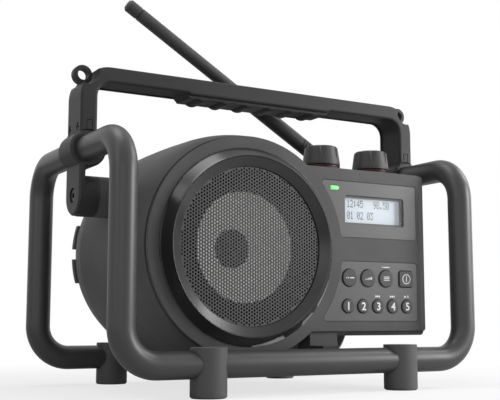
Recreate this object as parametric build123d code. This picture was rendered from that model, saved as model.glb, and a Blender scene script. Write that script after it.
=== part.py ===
from build123d import *
import os
from math import cos, sin, radians

# Jobsite radio: a two-shell housing hung in a bent tube cage, with a carrying handle over it.
# Millimetres, +Z up, front towards -Y, origin on the floor under the middle of the cage.

# ---- clearances -------------------------------------------------------------------------------
fit = 0.05            # a shaft or tube in its bore, radial
slip = 0.3            # gap round a moving or removable piece
seat = 0.1            # gap under a piece that is screwed down
over = 1.0            # how far a cutting tool reaches past what it cuts

# ---- tube cage --------------------------------------------------------------------------------
tube_r = 11.0
tube_wall = 1.6
cage_half_w = 169.5   # centre lines of the uprights
cage_half_d = 101.5
rail_low_z = 25.8
rail_top_z = 204.1
cage_bend_r = 30.0

# ---- feet -------------------------------------------------------------------------------------
foot_r = tube_r + 3.8
foot_cap_r = tube_r + 2.5    # the part of a foot that wraps over the rail
foot_x = 95.4
foot_edge = 1.2
foot_screw_r = 2.0
foot_screw_head_r = 4.2
foot_screw_head_h = 2.6
foot_screw_recess = 6.0
foot_screw_bite = 4.0

# ---- handle -----------------------------------------------------------------------------------
carry_y = -7.3               # middle plane of the handle, its clamps and the hangers
clamp_ring_r = tube_r + 5.0
handle_half_w = cage_half_w + 7.7
handle_half_d = 16.8
handle_wall = 3.0
arm_w = 15.2
arm_low_z = rail_top_z + clamp_ring_r - 1.4
beam_top_z = arm_low_z + 57.9
beam_h = 13.6
grip_zone_half = 74.0        # middle stretch of the beam, a little deeper than the rest
grip_zone_drop = 1.6
grip_zone_ramp = 3.0
corner_out_r = 27.0
corner_in_r = 13.0
handle_edge = 2.1
handle_inner_edge = 2.5
rim_w = 3.2                  # lip along the inner edge of the handle's front and back faces
rim_step = 1.2
eyelet_inset = 6.0           # from the arm's outer face
eyelet_drop = 6.3            # from the beam's top
eyelet_r = 8.5
eyelet_hole_r = 4.8
eyelet_half_t = 4.0
eyelet_edge = 1.2
scallop_r = eyelet_r + 2.3
lump_count = 6
lump_pitch = 24.2
lump_r = 10.0
lump_end_r = 2.5
lump_drop = 2.3              # how far a finger ridge hangs below the pad
pad_drop = 2.4               # how far the pad hangs below the beam's middle stretch
seam_tab = (4.7, 10.2, 10.0) # line of the side snap: from and to across the arm, height
seam_line = 0.6

# ---- clamps between the handle, the top rails and the housing ------------------------------------
clamp_half_d = handle_half_d + 0.4
clamp_edge = 1.8
clamp_step = 0.4             # the rear part of a ring is this much smaller
clamp_step_y = 3.0           # behind the middle plane
clamp_plate_t = 5.0
clamp_boss_x = cage_half_w - 9.6    # inner end of the clamp's boss
hanger_z = rail_top_z - 38.9
hanger_r = clamp_half_d + 0.4
gusset_half_t = 2.5
tongue_h = 18.0
hanger_head_r = 5.2
hanger_head_h = 5.0
hanger_sink_r = 6.5
hanger_sink = 6.0
hanger_shank_r = 3.0
hanger_length = 30.0
hanger_hex_r = 2.5
hanger_core_r = 7.0
bush_t = 1.5
handle_screw_r = 1.8
handle_screw_head_r = 3.2
handle_screw_head_h = 1.7
handle_screw_socket_r = 1.3
handle_screw_length = 8.2
handle_screw_dy = 9.7
handle_screw_rise = 4.4
handle_screw_web = 1.2       # wall left under a screw's head

# ---- loudspeaker front ----------------------------------------------------------------------------
grille_r = 67.0
grille_y = -85.0
grille_t = 1.0
bezel_r = grille_r + 17.0
bezel_crest_r = grille_r + 9.0
bezel_crest_y = -91.5
bezel_crest_edge = 0.7       # rounding of the crest
bezel_ledge = 1.5            # ledge that the grille lies on
bezel_tail = 4.8             # width of the bezel's rim behind the panel face

# ---- housing ----------------------------------------------------------------------------------
wall = 3.0
barrel_x = -46.5
barrel_z = 122.2
ring_r = bezel_r + 10.0      # front ring
fascia_front_y = -82.0
fascia_t = 3.0
groove_w = 1.6               # shadow groove behind the fascia
groove_d = 1.5
seam_y = -32.0               # parting line between the two shells
seam_gap = 0.4
barrel_rear_y = 88.5
barrel_front_r = ring_r + 0.8
barrel_seam_r = barrel_front_r + 5.9
barrel_mid_r = barrel_seam_r + 0.3
barrel_rear_r = barrel_mid_r - 8.3
barrel_shoulder_y = 56.0
box_right = 145.0
box_low = 47.0
box_top = 197.5
box_rear_y = 66.0
box_edge = 4.0
box_front_edge = 2.5
fascia_inset = 1.5           # fascia edge inside the housing edge, right side
fascia_inset_top = 2.1
fascia_low = box_low + 4.0
fascia_corner_r = 3.0
bevel_w = 7.0                # sloping right edge of the fascia
bevel_d = 2.6
speaker_hole_r = grille_r - 7.0
belly_right = 88.0
belly_low = 33.0
belly_slope = 10.0
belly_front_y = -30.0
belly_rear_y = 58.0
lug_x0 = 16.0
lug_x1 = 44.7
lug_back_y = -58.0
rail_pad_x1 = 32.0
rail_pad_half = 14.0
shell_boss_r = 5.0
shell_boss_inset = 8.0       # screw bosses inside the front ring
shell_boss_angles = (45, 135, 225, 315)
box_boss_inset = 7.5
box_boss_z = (box_low + 14.0, box_top - 13.5)
shell_screw_r = 1.6
shell_screw_head_r = 3.0
shell_screw_head_h = 2.4
shell_sink_r = 3.5
shell_sink_y = -10.0
shell_screw_tip_y = -46.0

# ---- controls on the fascia ---------------------------------------------------------------------
label_right = box_right - 12.2
label_corner_r = 3.0
upper_label_z = (box_low + 87.1, box_top - 12.4)
lower_label_z = (box_low + 12.5, box_low + 66.2)
label_depth = 1.0
label_t = 0.8
lcd_w = 66.0
lcd_h = 25.5
lcd_x1 = box_right - 27.0
lcd_z1 = box_top - 25.5
lcd_box = (lcd_x1 - lcd_w, lcd_x1, lcd_z1 - lcd_h, lcd_z1)
lcd_ledge = 1.5
lcd_corner_r = 2.2
lens_sink = 1.5
lens_t = 1.5
display_front_y = fascia_front_y + 6.4
display_margin_x = 1.5
display_margin_z = 2.5
lamp_w = 7.9
lamp_h = 4.0
lamp_x0 = lcd_box[0] - 15.8
lamp_box = (lamp_x0, lamp_x0 + lamp_w, lcd_z1 + 4.2, lcd_z1 + 4.2 + lamp_h)
lamp_proud = 0.3
lamp_window_t = 4.5
lamp_room = 2.0
key_row_z = box_low + 51.1
key_pitch = 20.35
key_r = 7.75
power_x = box_right - 26.0
power_w = 15.6
power_h = 14.8
power_corner_r = 2.5
info_x = power_x - 22.9
preset_z = box_low + 26.0
preset_count = 5
preset_pitch = 16.6
preset_x0 = label_right - 13.0 - (preset_count - 1) * preset_pitch
preset_r = 6.1
key_proud = 1.2
key_edge = 0.8
key_gap = 0.2                # extra gap round a key in the label
key_flange = 1.4
key_flange_t = 1.0
key_stem_r = 2.0
key_travel = 1.0
key_play = 0.2
panel_window = (44.0, 136.0, box_low + 15.0, box_top - 10.5)   # behind the panel: left, right, low, high
board_box = (37.0, 141.0, box_low + 19.5, box_top - 17.5)
board_post_x = (40.0, 138.0)
board_post_z = (box_low + 23.0, box_top - 28.5)
board_post_r = 3.0
board_front_y = fascia_front_y + 14.0
board_t = 1.6
switch_w = 6.0
switch_h = 2.4
plunger_h = 1.0
plunger_r = 1.6
connector_box = (52.0, 132.0, box_low + 73.0, box_low + 81.0)
connector_t = 3.0

# ---- speaker ----------------------------------------------------------------------------------
cone_r = speaker_hole_r - 12.6
cone_sink = 4.0              # depth of the cone's rim behind the flange
coil_r = 16.2
coil_wall = 0.6
coil_y = (-49.5, -36.0)
cone_neck_y = -48.0
cone_edge = 0.8
speaker_flange_t = 2.0
speaker_flange_r = grille_r + 1.0
speaker_flange_in_r = speaker_hole_r - 3.0
speaker_screw_r = 1.5
speaker_screw_head_r = 2.5
speaker_screw_head_h = 2.0
speaker_screw_bite = 1.6
speaker_screw_angles = (0, 90, 180, 270)
basket_rear_y = -39.0
basket_sheet = 1.6
basket_lip = 2.5
basket_window = (12, 90, 11)     # inner and outer reach, half width
basket_windows = 6
magnet_r = 45.0
magnet_t = 15.0
pole_plate_r = 42.0
pole_plate_t = 5.0
pole_gap = 1.0
magnet_hole_r = 24.0
magnet_edge = 2.0
surround_t = 0.9
surround_rise = 3.6
spider_y = -44.2
spider_t = 0.8
spider_waves = 3
spider_wave_pitch = 7.0
dust_cap_rim_y = -50.1
dust_cap_rise = 6.2
dust_cap_t = 1.0

# ---- knobs ------------------------------------------------------------------------------------
knob_y = -42.0
knob_x = {"volume": preset_x0, "tuning": box_right - 34.2}
knob_base_r = 17.6
knob_top_r = knob_base_r - 2.0
knob_h = 17.8
knob_skirt_h = 2.0
knob_edge = 1.5
knob_ring_h = 1.2
knob_ring_w = 2.5
knob_push = 0.8              # travel of the tuning knob's push
knob_gap = 1.0               # room under a knob
pedestal_r = knob_base_r - 0.8
pedestal_h = 4.5
flute_count = 7
flute_r = 4.0
flute_foot = 0.15            # a flute's radius at its foot, as a share of that at the top
flute_bite = 2.3
flute_start = 5.5            # height of the plain skirt below the flutes
flute_turn = 37.0
knob_hub_h = 3.0
knob_hub_wall = 2.5
knob_cap_t = 5.0
knob_shaft_r = 3.0
encoder_w = 13.0
encoder_h = 6.6
encoder_floor = 0.8
bushing_r = 4.5

# ---- antenna ----------------------------------------------------------------------------------
antenna_x = box_right - 38.0
antenna_y = 30.0
antenna_pivot_h = 23.5       # above the housing's top
antenna_lean = 31.0          # degrees above the horizontal, leaning to the left
antenna_r = 6.2
antenna_sleeve_r = 7.5        # thicker lower part of the whip
antenna_sleeve_h = 100.0
antenna_length = 259.0
antenna_base_r = 11.5
antenna_base_h = 11.4
antenna_base_edge = 2.0
antenna_ear_r = 6.5
antenna_ear_t = 4.0
antenna_eye_half = 3.0
antenna_eye_gap = 0.2
antenna_pin_r = 2.0
antenna_pin_half = 7.6
antenna_neck_half = 4.2
antenna_neck_h = 8.6
antenna_taper_h = 22.0
antenna_ring_start = 28.0
antenna_ring_pitch = 3.2
antenna_rings = 3
antenna_ring_groove = 1.2
antenna_ring_depth = 0.9
antenna_tip_h = 15.0
antenna_spigot_r = 5.0
antenna_spigot_h = 6.0
antenna_circlip_t = 1.9

# ---- battery bay --------------------------------------------------------------------------------
door_r = 78.0
door_t = 4.0
door_proud = 1.8
door_edge = 1.2
door_gap = 0.5
door_rings = 5
door_ring_pitch = 10.0
door_ring_w = 1.5
door_ring_depth = 0.8
bay_hole_r = door_r - 6.0
hinge_x = barrel_x + door_r + 7.5
hinge_y = barrel_rear_y + 3.5
hinge_pin_r = 1.5
hinge_knuckle_r = 3.4
hinge_half = 28.0
hinge_door_half = 18.0
hinge_arm_rise = 1.2
latch_half = 4.5
guard_half = 27.0            # height of the ribs that stand beside the latch, from its middle
guard_rise = 3.6             # how far they stand out from the barrel's rear edge
guard_t = 5.0
latch_travel = 4.0
latch_nose = 6.0
latch_l = 16.0
latch_proud = 0.8
latch_ribs = 4
latch_rib_pitch = 2.4
latch_rib_w = 1.0
latch_rib_depth = 0.7
notch_depth = 1.5
cell_r = 16.2
cell_l = 60.0
cell_tip_r = 4.5
cell_tip_h = 1.5
cell_gap = 1.1
tray_wall = 2.0
tray_margin = 2.6
tray_flange_t = 2.0
contact_t = 1.0
contact_half = 7.0

# ---- boards and sockets at the back ----------------------------------------------------------------
main_board_y = 20.0
main_board_box = (34.0, 132.0, box_low + 13.0, box_top - 15.5)
main_board_post_x = (40.0, 128.6)
main_board_post_z = (box_low + 17.0, box_top - 21.5)
chips = ((58, 150, 22, 22, 6), (100, 140, 34, 26, 9), (70, 95, 26, 18, 12), (112, 92, 16, 30, 15))
can_places = ((50, 120), (62, 120))
can_r = 5.0
can_h = 20.0
socket_box = (90.0, 122.0, box_low + 15.0, box_low + 35.0)
socket_lip = 3.0
socket_lip_t = 2.3
socket_sink = 0.6
aux_r = 1.8
aux_depth = 14.0
aux_wall = 2.2
gland_place = (64.0, box_low + 23.0)
gland_r = 6.5
gland_hole_r = 3.4
gland_collar = 2.0
gland_proud = 2.5
gland_clip = 1.5
gland_clip_t = 1.9

# ---- worked out from the sizes above -------------------------------------------------------------
arm_in_x = handle_half_w - arm_w
beam_low_z = beam_top_z - beam_h
eyelet_x = handle_half_w - eyelet_inset
eyelet_z = beam_top_z - eyelet_drop
grip_half_l = arm_in_x - corner_in_r - 2.0
clamp_plate_x = handle_half_w - clamp_plate_t
fascia_back_y = fascia_front_y + fascia_t + groove_w
shell_front_y = fascia_back_y + seat
inner_front_y = shell_front_y + wall
front_end_y = seam_y - seam_gap / 2
rear_start_y = seam_y + seam_gap / 2
fascia_right = box_right - fascia_inset
fascia_top = box_top - fascia_inset_top
boss_ring_r = ring_r - shell_boss_inset
boss_places = [(barrel_x + boss_ring_r * cos(radians(a)), barrel_z + boss_ring_r * sin(radians(a)))
               for a in shell_boss_angles]
box_boss_places = [(box_right - box_boss_inset, z) for z in box_boss_z]
board_posts = [(x, z) for x in board_post_x for z in board_post_z]
main_board_posts = [(x, z) for x in main_board_post_x for z in main_board_post_z]
speaker_axis = (barrel_x, barrel_z)
speaker_screw_ring_r = speaker_flange_r - 3.0
speaker_screw_places = [(barrel_x + speaker_screw_ring_r * cos(radians(a)),
                         barrel_z + speaker_screw_ring_r * sin(radians(a))) for a in speaker_screw_angles]
basket_front_y = inner_front_y + seat
magnet_front_y = basket_rear_y + seat
switch_top_y = board_front_y - switch_h - plunger_h
pedestal_top_z = box_top + pedestal_h
knob_base_z = pedestal_top_z + knob_ring_h + knob_gap
encoder_top_z = box_top - wall - seat
antenna_pivot_z = box_top + antenna_pivot_h
recess_floor_y = barrel_rear_y - door_t
bay_wall_y = recess_floor_y - wall
tray_back_y = bay_wall_y - 2 * cell_r - tray_wall - 1.6
cell_y = bay_wall_y - cell_r - 1.2
aux_place = ((socket_box[0] + socket_box[1]) / 2, (socket_box[2] + socket_box[3]) / 2)


# ---- plain shapes -------------------------------------------------------------------------------
def block(x0, x1, y0, y1, z0, z1):
    return Pos((x0 + x1) / 2, (y0 + y1) / 2, (z0 + z1) / 2) * Box(x1 - x0, y1 - y0, z1 - z0)


def rod(axis, centre, low, high, r):
    """Cylinder along axis "x", "y" or "z" from low to high; centre gives the other two places."""
    a, b = centre
    origin, direction = {
        "x": ((low, a, b), (1, 0, 0)),
        "y": ((a, low, b), (0, 1, 0)),
        "z": ((a, b, low), (0, 0, 1)),
    }[axis]
    return Solid.make_cylinder(r, high - low, Plane(origin=origin, z_dir=direction))


def tube(axis, centre, low, high, r_out, r_in):
    return rod(axis, centre, low, high, r_out) - rod(axis, centre, low - over, high + over, r_in)


def prism(points, y0, y1, radii=0.0):
    """Outline of (x, z) points, carried from y0 to y1; radii round its corners."""
    corners = [(x, y0, z) for x, z in points]
    outline = FilletPolyline(*corners, radius=radii, close=True)
    return extrude(make_face(outline), amount=y1 - y0, dir=(0, 1, 0))


def turned(points, x=barrel_x, z=barrel_z):
    """Profile of (radius, y) points turned about the line through x, z along Y."""
    face = make_face(Polyline(*[(x + r, y, z) for r, y in points], close=True))
    return revolve(face, Axis((x, 0, z), (0, 1, 0)))


def turned_z(points, x, y):
    """Profile of (radius, z) points turned about the upright line through x, y."""
    face = make_face(Polyline(*[(x + r, y, z) for r, z in points], close=True))
    return revolve(face, Axis((x, y, 0), (0, 0, 1)))


def turned_curve(edges, x=barrel_x, z=barrel_z):
    """Closed profile of edges, given in (radius, y), turned about the line through x, z along Y."""
    face = Pos(x, 0, z) * make_face(edges)
    return revolve(face, Axis((x, 0, z), (0, 1, 0)))


def joined(*shapes):
    total = shapes[0]
    for shape in shapes[1:]:
        total = total + shape
    return total


def group(shapes):
    """Separate solids kept side by side in one node."""
    solids = [s for shape in shapes for s in shape.solids()]
    return Compound(children=solids)


def edges_at_y(shape, y, keep):
    """Edges lying in the plane y whose middle passes keep(x, z)."""
    found = []
    for edge in shape.edges():
        box = edge.bounding_box()
        middle = edge @ 0.5
        if abs(box.min.Y - y) < 1e-4 and abs(box.max.Y - y) < 1e-4 and keep(middle.X, middle.Z):
            found.append(edge)
    return found


def rounded_rod(axis, centre, low, high, r, edge):
    """Cylinder along Y with both its rims rounded by edge."""
    body = rod(axis, centre, low, high, r)
    return fillet(body.edges().filter_by(GeomType.CIRCLE), edge)


parts = {}


# ---- cage -------------------------------------------------------------------------------------
foot_places = [(sx * foot_x, sy * cage_half_d) for sy in (-1, 1) for sx in (-1, 1)]


def cage_side(r):
    w, d, low, top = cage_half_w, cage_half_d, rail_low_z, rail_top_z
    path = FilletPolyline((0, -d, low), (-w, -d, low), (-w, -d, top), (-w, d, top), (-w, d, low),
                          (0, d, low), radius=cage_bend_r)
    section = Plane(origin=(0, -d, low), z_dir=(-1, 0, 0)) * Circle(r)
    return sweep(section, path)


def make_cage():
    side = cage_side(tube_r) - cage_side(tube_r - tube_wall)
    cage = side + mirror(side, Plane.YZ)
    for x, y in foot_places:
        cage = cage - rod("z", (x, y), rail_low_z - tube_r - over, rail_low_z, foot_screw_r + fit)
    return cage


def make_foot(x, y):
    """Rubber post with a domed top that wraps over the bottom rail."""
    top = rail_low_z + foot_cap_r
    post = rod("z", (x, y), 0, top, foot_r)
    post = chamfer(post.edges().filter_by(GeomType.CIRCLE).sort_by(Axis.Z)[0], foot_edge)
    below = block(x - foot_r, x + foot_r, y - foot_r, y + foot_r, 0, rail_low_z)
    cap = rod("x", (y, rail_low_z), x - foot_r, x + foot_r, foot_cap_r)
    shoulders = rod("y", (x, rail_low_z), y - foot_r, y + foot_r, foot_r)
    foot = post & (below + (cap & shoulders))
    foot = foot - rod("x", (y, rail_low_z), x - 2 * foot_r, x + 2 * foot_r, tube_r + fit)
    foot = foot - rod("z", (x, y), -over, foot_screw_recess, foot_screw_head_r + slip)
    return foot - rod("z", (x, y), 0, rail_low_z, foot_screw_r + fit)


def make_foot_screw(x, y):
    head_low = foot_screw_recess - foot_screw_head_h
    head = rod("z", (x, y), head_low, foot_screw_recess, foot_screw_head_r)
    shank = rod("z", (x, y), foot_screw_recess, rail_low_z - tube_r + foot_screw_bite, foot_screw_r)
    socket = rod("z", (x, y), head_low - over, foot_screw_recess - foot_screw_head_h / 2, foot_screw_head_r / 2)
    return head + shank - socket


parts["tube_frame"] = make_cage()
foot_names = ["foot_front_left", "foot_front_right", "foot_rear_left", "foot_rear_right"]
for name, (x, y) in zip(foot_names, foot_places):
    parts[name] = make_foot(x, y)
parts["foot_screws"] = group([make_foot_screw(x, y) for x, y in foot_places])


# ---- handle -----------------------------------------------------------------------------------
handle_screw_places = [(side, carry_y + dy) for side in (-1, 1) for dy in (-handle_screw_dy, handle_screw_dy)]
handle_screw_z = arm_low_z + handle_screw_rise


def handle_outline(inset, low, half_d):
    """The handle's outer edge as a filled arch, inset by a wall."""
    w = handle_half_w - inset
    top = beam_top_z - inset
    r = corner_out_r - inset
    return prism([(-w, low), (-w, top), (w, top), (w, low)], carry_y - half_d, carry_y + half_d, [0, r, r, 0])


def hand_window(grow, half_d):
    """The opening under the handle, with its edge set back by grow."""
    w, z, r = arm_in_x + grow, beam_low_z + grow, corner_in_r + grow
    g, ramp, low = grip_zone_half, grip_zone_ramp, arm_low_z - 2 * over
    points = [(-w, low), (-w, z), (-g - ramp, z), (-g, z - grip_zone_drop), (g, z - grip_zone_drop),
              (g + ramp, z), (w, z), (w, low)]
    return prism(points, carry_y - half_d, carry_y + half_d, [0, r, 0, 0, 0, 0, r, 0])


def across(y0, y1, side, x0, x1, z0, z1):
    """Block between two distances x0 and x1 from the middle, on one side."""
    near, far = sorted([side * x0, side * x1])
    return block(near, far, y0, y1, z0, z1)


def sideways_rod(side, y, z, x0, x1, r):
    """Cylinder along X between two distances from the middle, on one side."""
    near, far = sorted([side * x0, side * x1])
    return rod("x", (y, z), near, far, r)


def make_eyelet(side):
    x = side * eyelet_x
    y0, y1 = carry_y - eyelet_half_t, carry_y + eyelet_half_t
    ring = rounded_rod("y", (x, eyelet_z), y0, y1, eyelet_r, eyelet_edge)
    web = across(y0, y1, side, eyelet_x - eyelet_r / 2, eyelet_x + eyelet_r, eyelet_z - 14, eyelet_z)
    web = web & handle_outline(0, arm_low_z, handle_half_d)
    web = web & rod("y", (x, eyelet_z), y0, y1, scallop_r + 0.5)
    return web + ring - rod("y", (x, eyelet_z), y0 - over, y1 + over, eyelet_hole_r)


def make_handle():
    d = handle_half_d
    body = handle_outline(0, arm_low_z, d) - hand_window(0, d + over)
    mid_arm = handle_half_w - arm_w / 2
    mid_beam = beam_top_z - beam_h / 2
    for y in (carry_y - d, carry_y + d):
        outer = edges_at_y(body, y, lambda x, z: z > arm_low_z + 1 and (abs(x) > mid_arm or z > mid_beam))
        body = fillet(outer, handle_edge)
        inner = edges_at_y(body, y, lambda x, z: z > arm_low_z + 1 and abs(x) < mid_arm and z < mid_beam)
        body = fillet(inner, handle_inner_edge)
    body = body - hand_window(rim_step, d - rim_w)
    hollow = handle_outline(handle_wall, arm_low_z - over, d - handle_wall)
    hollow = hollow - hand_window(rim_step + handle_wall, d)
    slot_half_y = d - handle_wall
    slot = block(-grip_half_l - slip, grip_half_l + slip, carry_y - slot_half_y, carry_y + slot_half_y,
                 beam_low_z - grip_zone_drop - over, beam_top_z - handle_wall)
    for side in (-1, 1):
        centre = (side * eyelet_x, eyelet_z)
        hollow = hollow - rod("y", centre, carry_y - d, carry_y + d, scallop_r + handle_wall)
        body = body - rod("y", centre, carry_y - d - over, carry_y + d + over, scallop_r)
        body = body - rod("y", (side * cage_half_w, rail_top_z), carry_y - d - over, carry_y + d + over,
                          clamp_ring_r + seat)
    body = body - hollow - slot
    head_x = handle_half_w - handle_screw_web
    for side, y in handle_screw_places:
        body = body - sideways_rod(side, y, handle_screw_z, handle_half_w - 2 * handle_wall,
                                   handle_half_w + over, handle_screw_r + fit)
        body = body - sideways_rod(side, y, handle_screw_z, head_x - handle_screw_head_h + handle_screw_web,
                                   handle_half_w + over, handle_screw_head_r + slip)
    x0, x1, tab_h = seam_tab
    front = carry_y - d
    for side in (-1, 1):
        tab = across(front, front + seam_line, side, arm_in_x + x0, arm_in_x + x1, arm_low_z, arm_low_z + tab_h)
        core = across(front, front + seam_line, side, arm_in_x + x0 + seam_line, arm_in_x + x1 - seam_line,
                      arm_low_z, arm_low_z + tab_h - seam_line)
        body = body - (tab - core)
        body = body + make_eyelet(side)
    return body


def make_grip():
    """Rubber insert that fills the beam from below, with ridges for the fingers."""
    half_y = handle_half_d - handle_wall - slip
    y0, y1 = carry_y - half_y, carry_y + half_y
    top = beam_top_z - handle_wall - slip
    floor = beam_low_z + rim_step
    pad_low = beam_low_z - grip_zone_drop - pad_drop
    bar = block(-grip_half_l, grip_half_l, y0, y1, floor, top)
    g, ramp = grip_zone_half, grip_zone_ramp + pad_drop
    pad = prism([(-g - ramp, floor + over), (-g, pad_low), (g, pad_low), (g + ramp, floor + over)], y0, y1)
    grip = bar + pad
    for i in range(lump_count):
        x = (i - (lump_count - 1) / 2) * lump_pitch
        lump = rounded_rod("y", (x, pad_low - lump_drop + lump_r), y0, y1, lump_r, lump_end_r)
        grip = grip + (lump & block(x - lump_r, x + lump_r, y0, y1, pad_low - lump_r, top))
    return grip


def make_clamp(side):
    """Clamp on a top rail: ring, tongue up into the handle's arm, plate and boss down to the housing."""
    d = clamp_half_d
    y0, y1, step_y = carry_y - d, carry_y + d, carry_y + clamp_step_y
    w, top = cage_half_w, rail_top_z
    ring = rod("y", (w, top), y0, step_y, clamp_ring_r)
    ring = chamfer(ring.edges().filter_by(GeomType.CIRCLE).sort_by(Axis.Y)[0], clamp_edge)
    rear_ring = rod("y", (w, top), step_y, y1, clamp_ring_r - clamp_step)
    rear_ring = chamfer(rear_ring.edges().filter_by(GeomType.CIRCLE).sort_by(Axis.Y)[-1], clamp_edge)
    h = handle_half_d
    neck = block(arm_in_x, handle_half_w, carry_y - h, carry_y + h, top, arm_low_z - seat)
    tongue_in = arm_in_x + rim_step + handle_wall + seat
    tongue_half = h - handle_wall - seat
    tongue = block(tongue_in, handle_half_w - handle_wall - seat, carry_y - tongue_half, carry_y + tongue_half,
                   top, arm_low_z + tongue_h)
    plate = block(clamp_plate_x, handle_half_w, y0, y1, hanger_z, top)
    plate = plate + rod("x", (carry_y, hanger_z), clamp_plate_x, handle_half_w, d)
    plate = chamfer(plate.faces().sort_by(Axis.X)[-1].edges().filter_by(lambda e: (e @ 0.5).Z < top - 1),
                    clamp_edge - 0.3)
    boss = rod("x", (carry_y, hanger_z), clamp_boss_x, clamp_plate_x + over, hanger_r)
    boss = boss - block(clamp_plate_x, clamp_plate_x + 2 * over, y0 - over, y1 + over, 0, top)
    gusset = prism([(clamp_plate_x + over, hanger_z + hanger_r - 2), (clamp_plate_x + over, top - 11),
                    (w - 6, top - 12.5), (clamp_plate_x - 1.5, hanger_z + hanger_r - 1)],
                   carry_y - gusset_half_t, carry_y + gusset_half_t)
    clamp = joined(ring, rear_ring, neck, tongue, plate, boss, gusset)
    clamp = clamp - rod("y", (w, top), y0 - over, y1 + over, tube_r + fit)
    sink_x = handle_half_w - hanger_sink
    clamp = clamp - rod("x", (carry_y, hanger_z), sink_x, handle_half_w + over, hanger_sink_r)
    clamp = clamp - rod("x", (carry_y, hanger_z), clamp_boss_x - over, sink_x + over, hanger_shank_r + slip)
    for screw_side, y in handle_screw_places:
        if screw_side > 0:
            clamp = clamp - rod("x", (y, handle_screw_z), tongue_in - over, handle_half_w, handle_screw_r + fit)
    return clamp if side > 0 else mirror(clamp, Plane.YZ)


def make_handle_screw(side, y):
    head_in = handle_half_w - handle_screw_head_h
    head = rod("x", (y, handle_screw_z), head_in, head_in + handle_screw_web, handle_screw_head_r)
    shank = rod("x", (y, handle_screw_z), head_in - handle_screw_length, head_in, handle_screw_r)
    socket = rod("x", (y, handle_screw_z), head_in + handle_screw_web / 2, handle_half_w, handle_screw_socket_r)
    screw = head + shank - socket
    return screw if side > 0 else mirror(screw, Plane.YZ)


def make_hanger_bolt(side):
    seat_x = handle_half_w - hanger_sink
    head = rod("x", (carry_y, hanger_z), seat_x, seat_x + hanger_head_h, hanger_head_r)
    shank = rod("x", (carry_y, hanger_z), seat_x - hanger_length, seat_x, hanger_shank_r)
    mouth = Plane(origin=(seat_x + hanger_head_h / 2, carry_y, hanger_z), z_dir=(1, 0, 0))
    bolt = head + shank - extrude(mouth * RegularPolygon(hanger_hex_r, 6), amount=hanger_head_h)
    return bolt if side > 0 else mirror(bolt, Plane.YZ)


def make_hanger_bush(side):
    bush = tube("x", (carry_y, hanger_z), clamp_boss_x - bush_t, clamp_boss_x, hanger_r - 2 * slip,
                hanger_shank_r + slip)
    return bush if side > 0 else mirror(bush, Plane.YZ)


parts["handle"] = make_handle()
parts["handle_grip"] = make_grip()
parts["clamp_left"] = make_clamp(-1)
parts["clamp_right"] = make_clamp(1)
parts["handle_screws"] = group([make_handle_screw(side, y) for side, y in handle_screw_places])
parts["hanger_bolts"] = group([make_hanger_bolt(side) for side in (-1, 1)])
parts["hanger_bushes"] = group([make_hanger_bush(side) for side in (-1, 1)])


# ---- housing shells -----------------------------------------------------------------------------
def barrel_front(inset, y0, y1):
    """Front part of the barrel, which swells from the front ring to the seam."""
    first = (barrel_front_r - inset, y0)
    last = (barrel_seam_r - inset, y1)
    middle = (barrel_front_r * 0.38 + barrel_seam_r * 0.62 - inset, y0 * 0.62 + y1 * 0.38)
    return turned_curve([Line((0, y0), first), ThreePointArc(first, middle, last), Line(last, (0, y1)),
                         Line((0, y1), (0, y0))])


def barrel_rear(inset, y0, y1):
    """Rear part of the barrel: nearly straight, then drawn in towards its back edge."""
    first = (barrel_seam_r - inset, y0)
    belly = (barrel_mid_r + 0.1 - inset, (y0 + barrel_shoulder_y) / 2)
    shoulder = (barrel_mid_r - 1.0 - inset, barrel_shoulder_y)
    bow = (barrel_mid_r - 3.7 - inset, (barrel_shoulder_y + barrel_rear_y) / 2)
    last = (barrel_rear_r - inset, y1)
    return turned_curve([Line((0, y0), first), ThreePointArc(first, belly, shoulder),
                         ThreePointArc(shoulder, bow, last), Line(last, (0, y1)), Line((0, y1), (0, y0))])


def box_body(inset, y0, y1):
    r = max(box_edge - inset, 1.0)
    return prism([(0, box_low + inset), (box_right - inset, box_low + inset),
                  (box_right - inset, box_top - inset), (0, box_top - inset)], y0, y1, [0, r, r, 0])


def make_pedestal(x):
    """Round seat for a knob. It starts on the front shell and reaches over the seam onto the rear one."""
    standing = rod("z", (x, knob_y), box_top - over, pedestal_top_z, pedestal_r)
    room = box_top + seat / 2
    rooted = block(0, box_right, shell_front_y, front_end_y, box_top - 2 * over, room)
    return standing & (rooted + block(0, box_right, shell_front_y, 0, room, pedestal_top_z + over))


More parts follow.
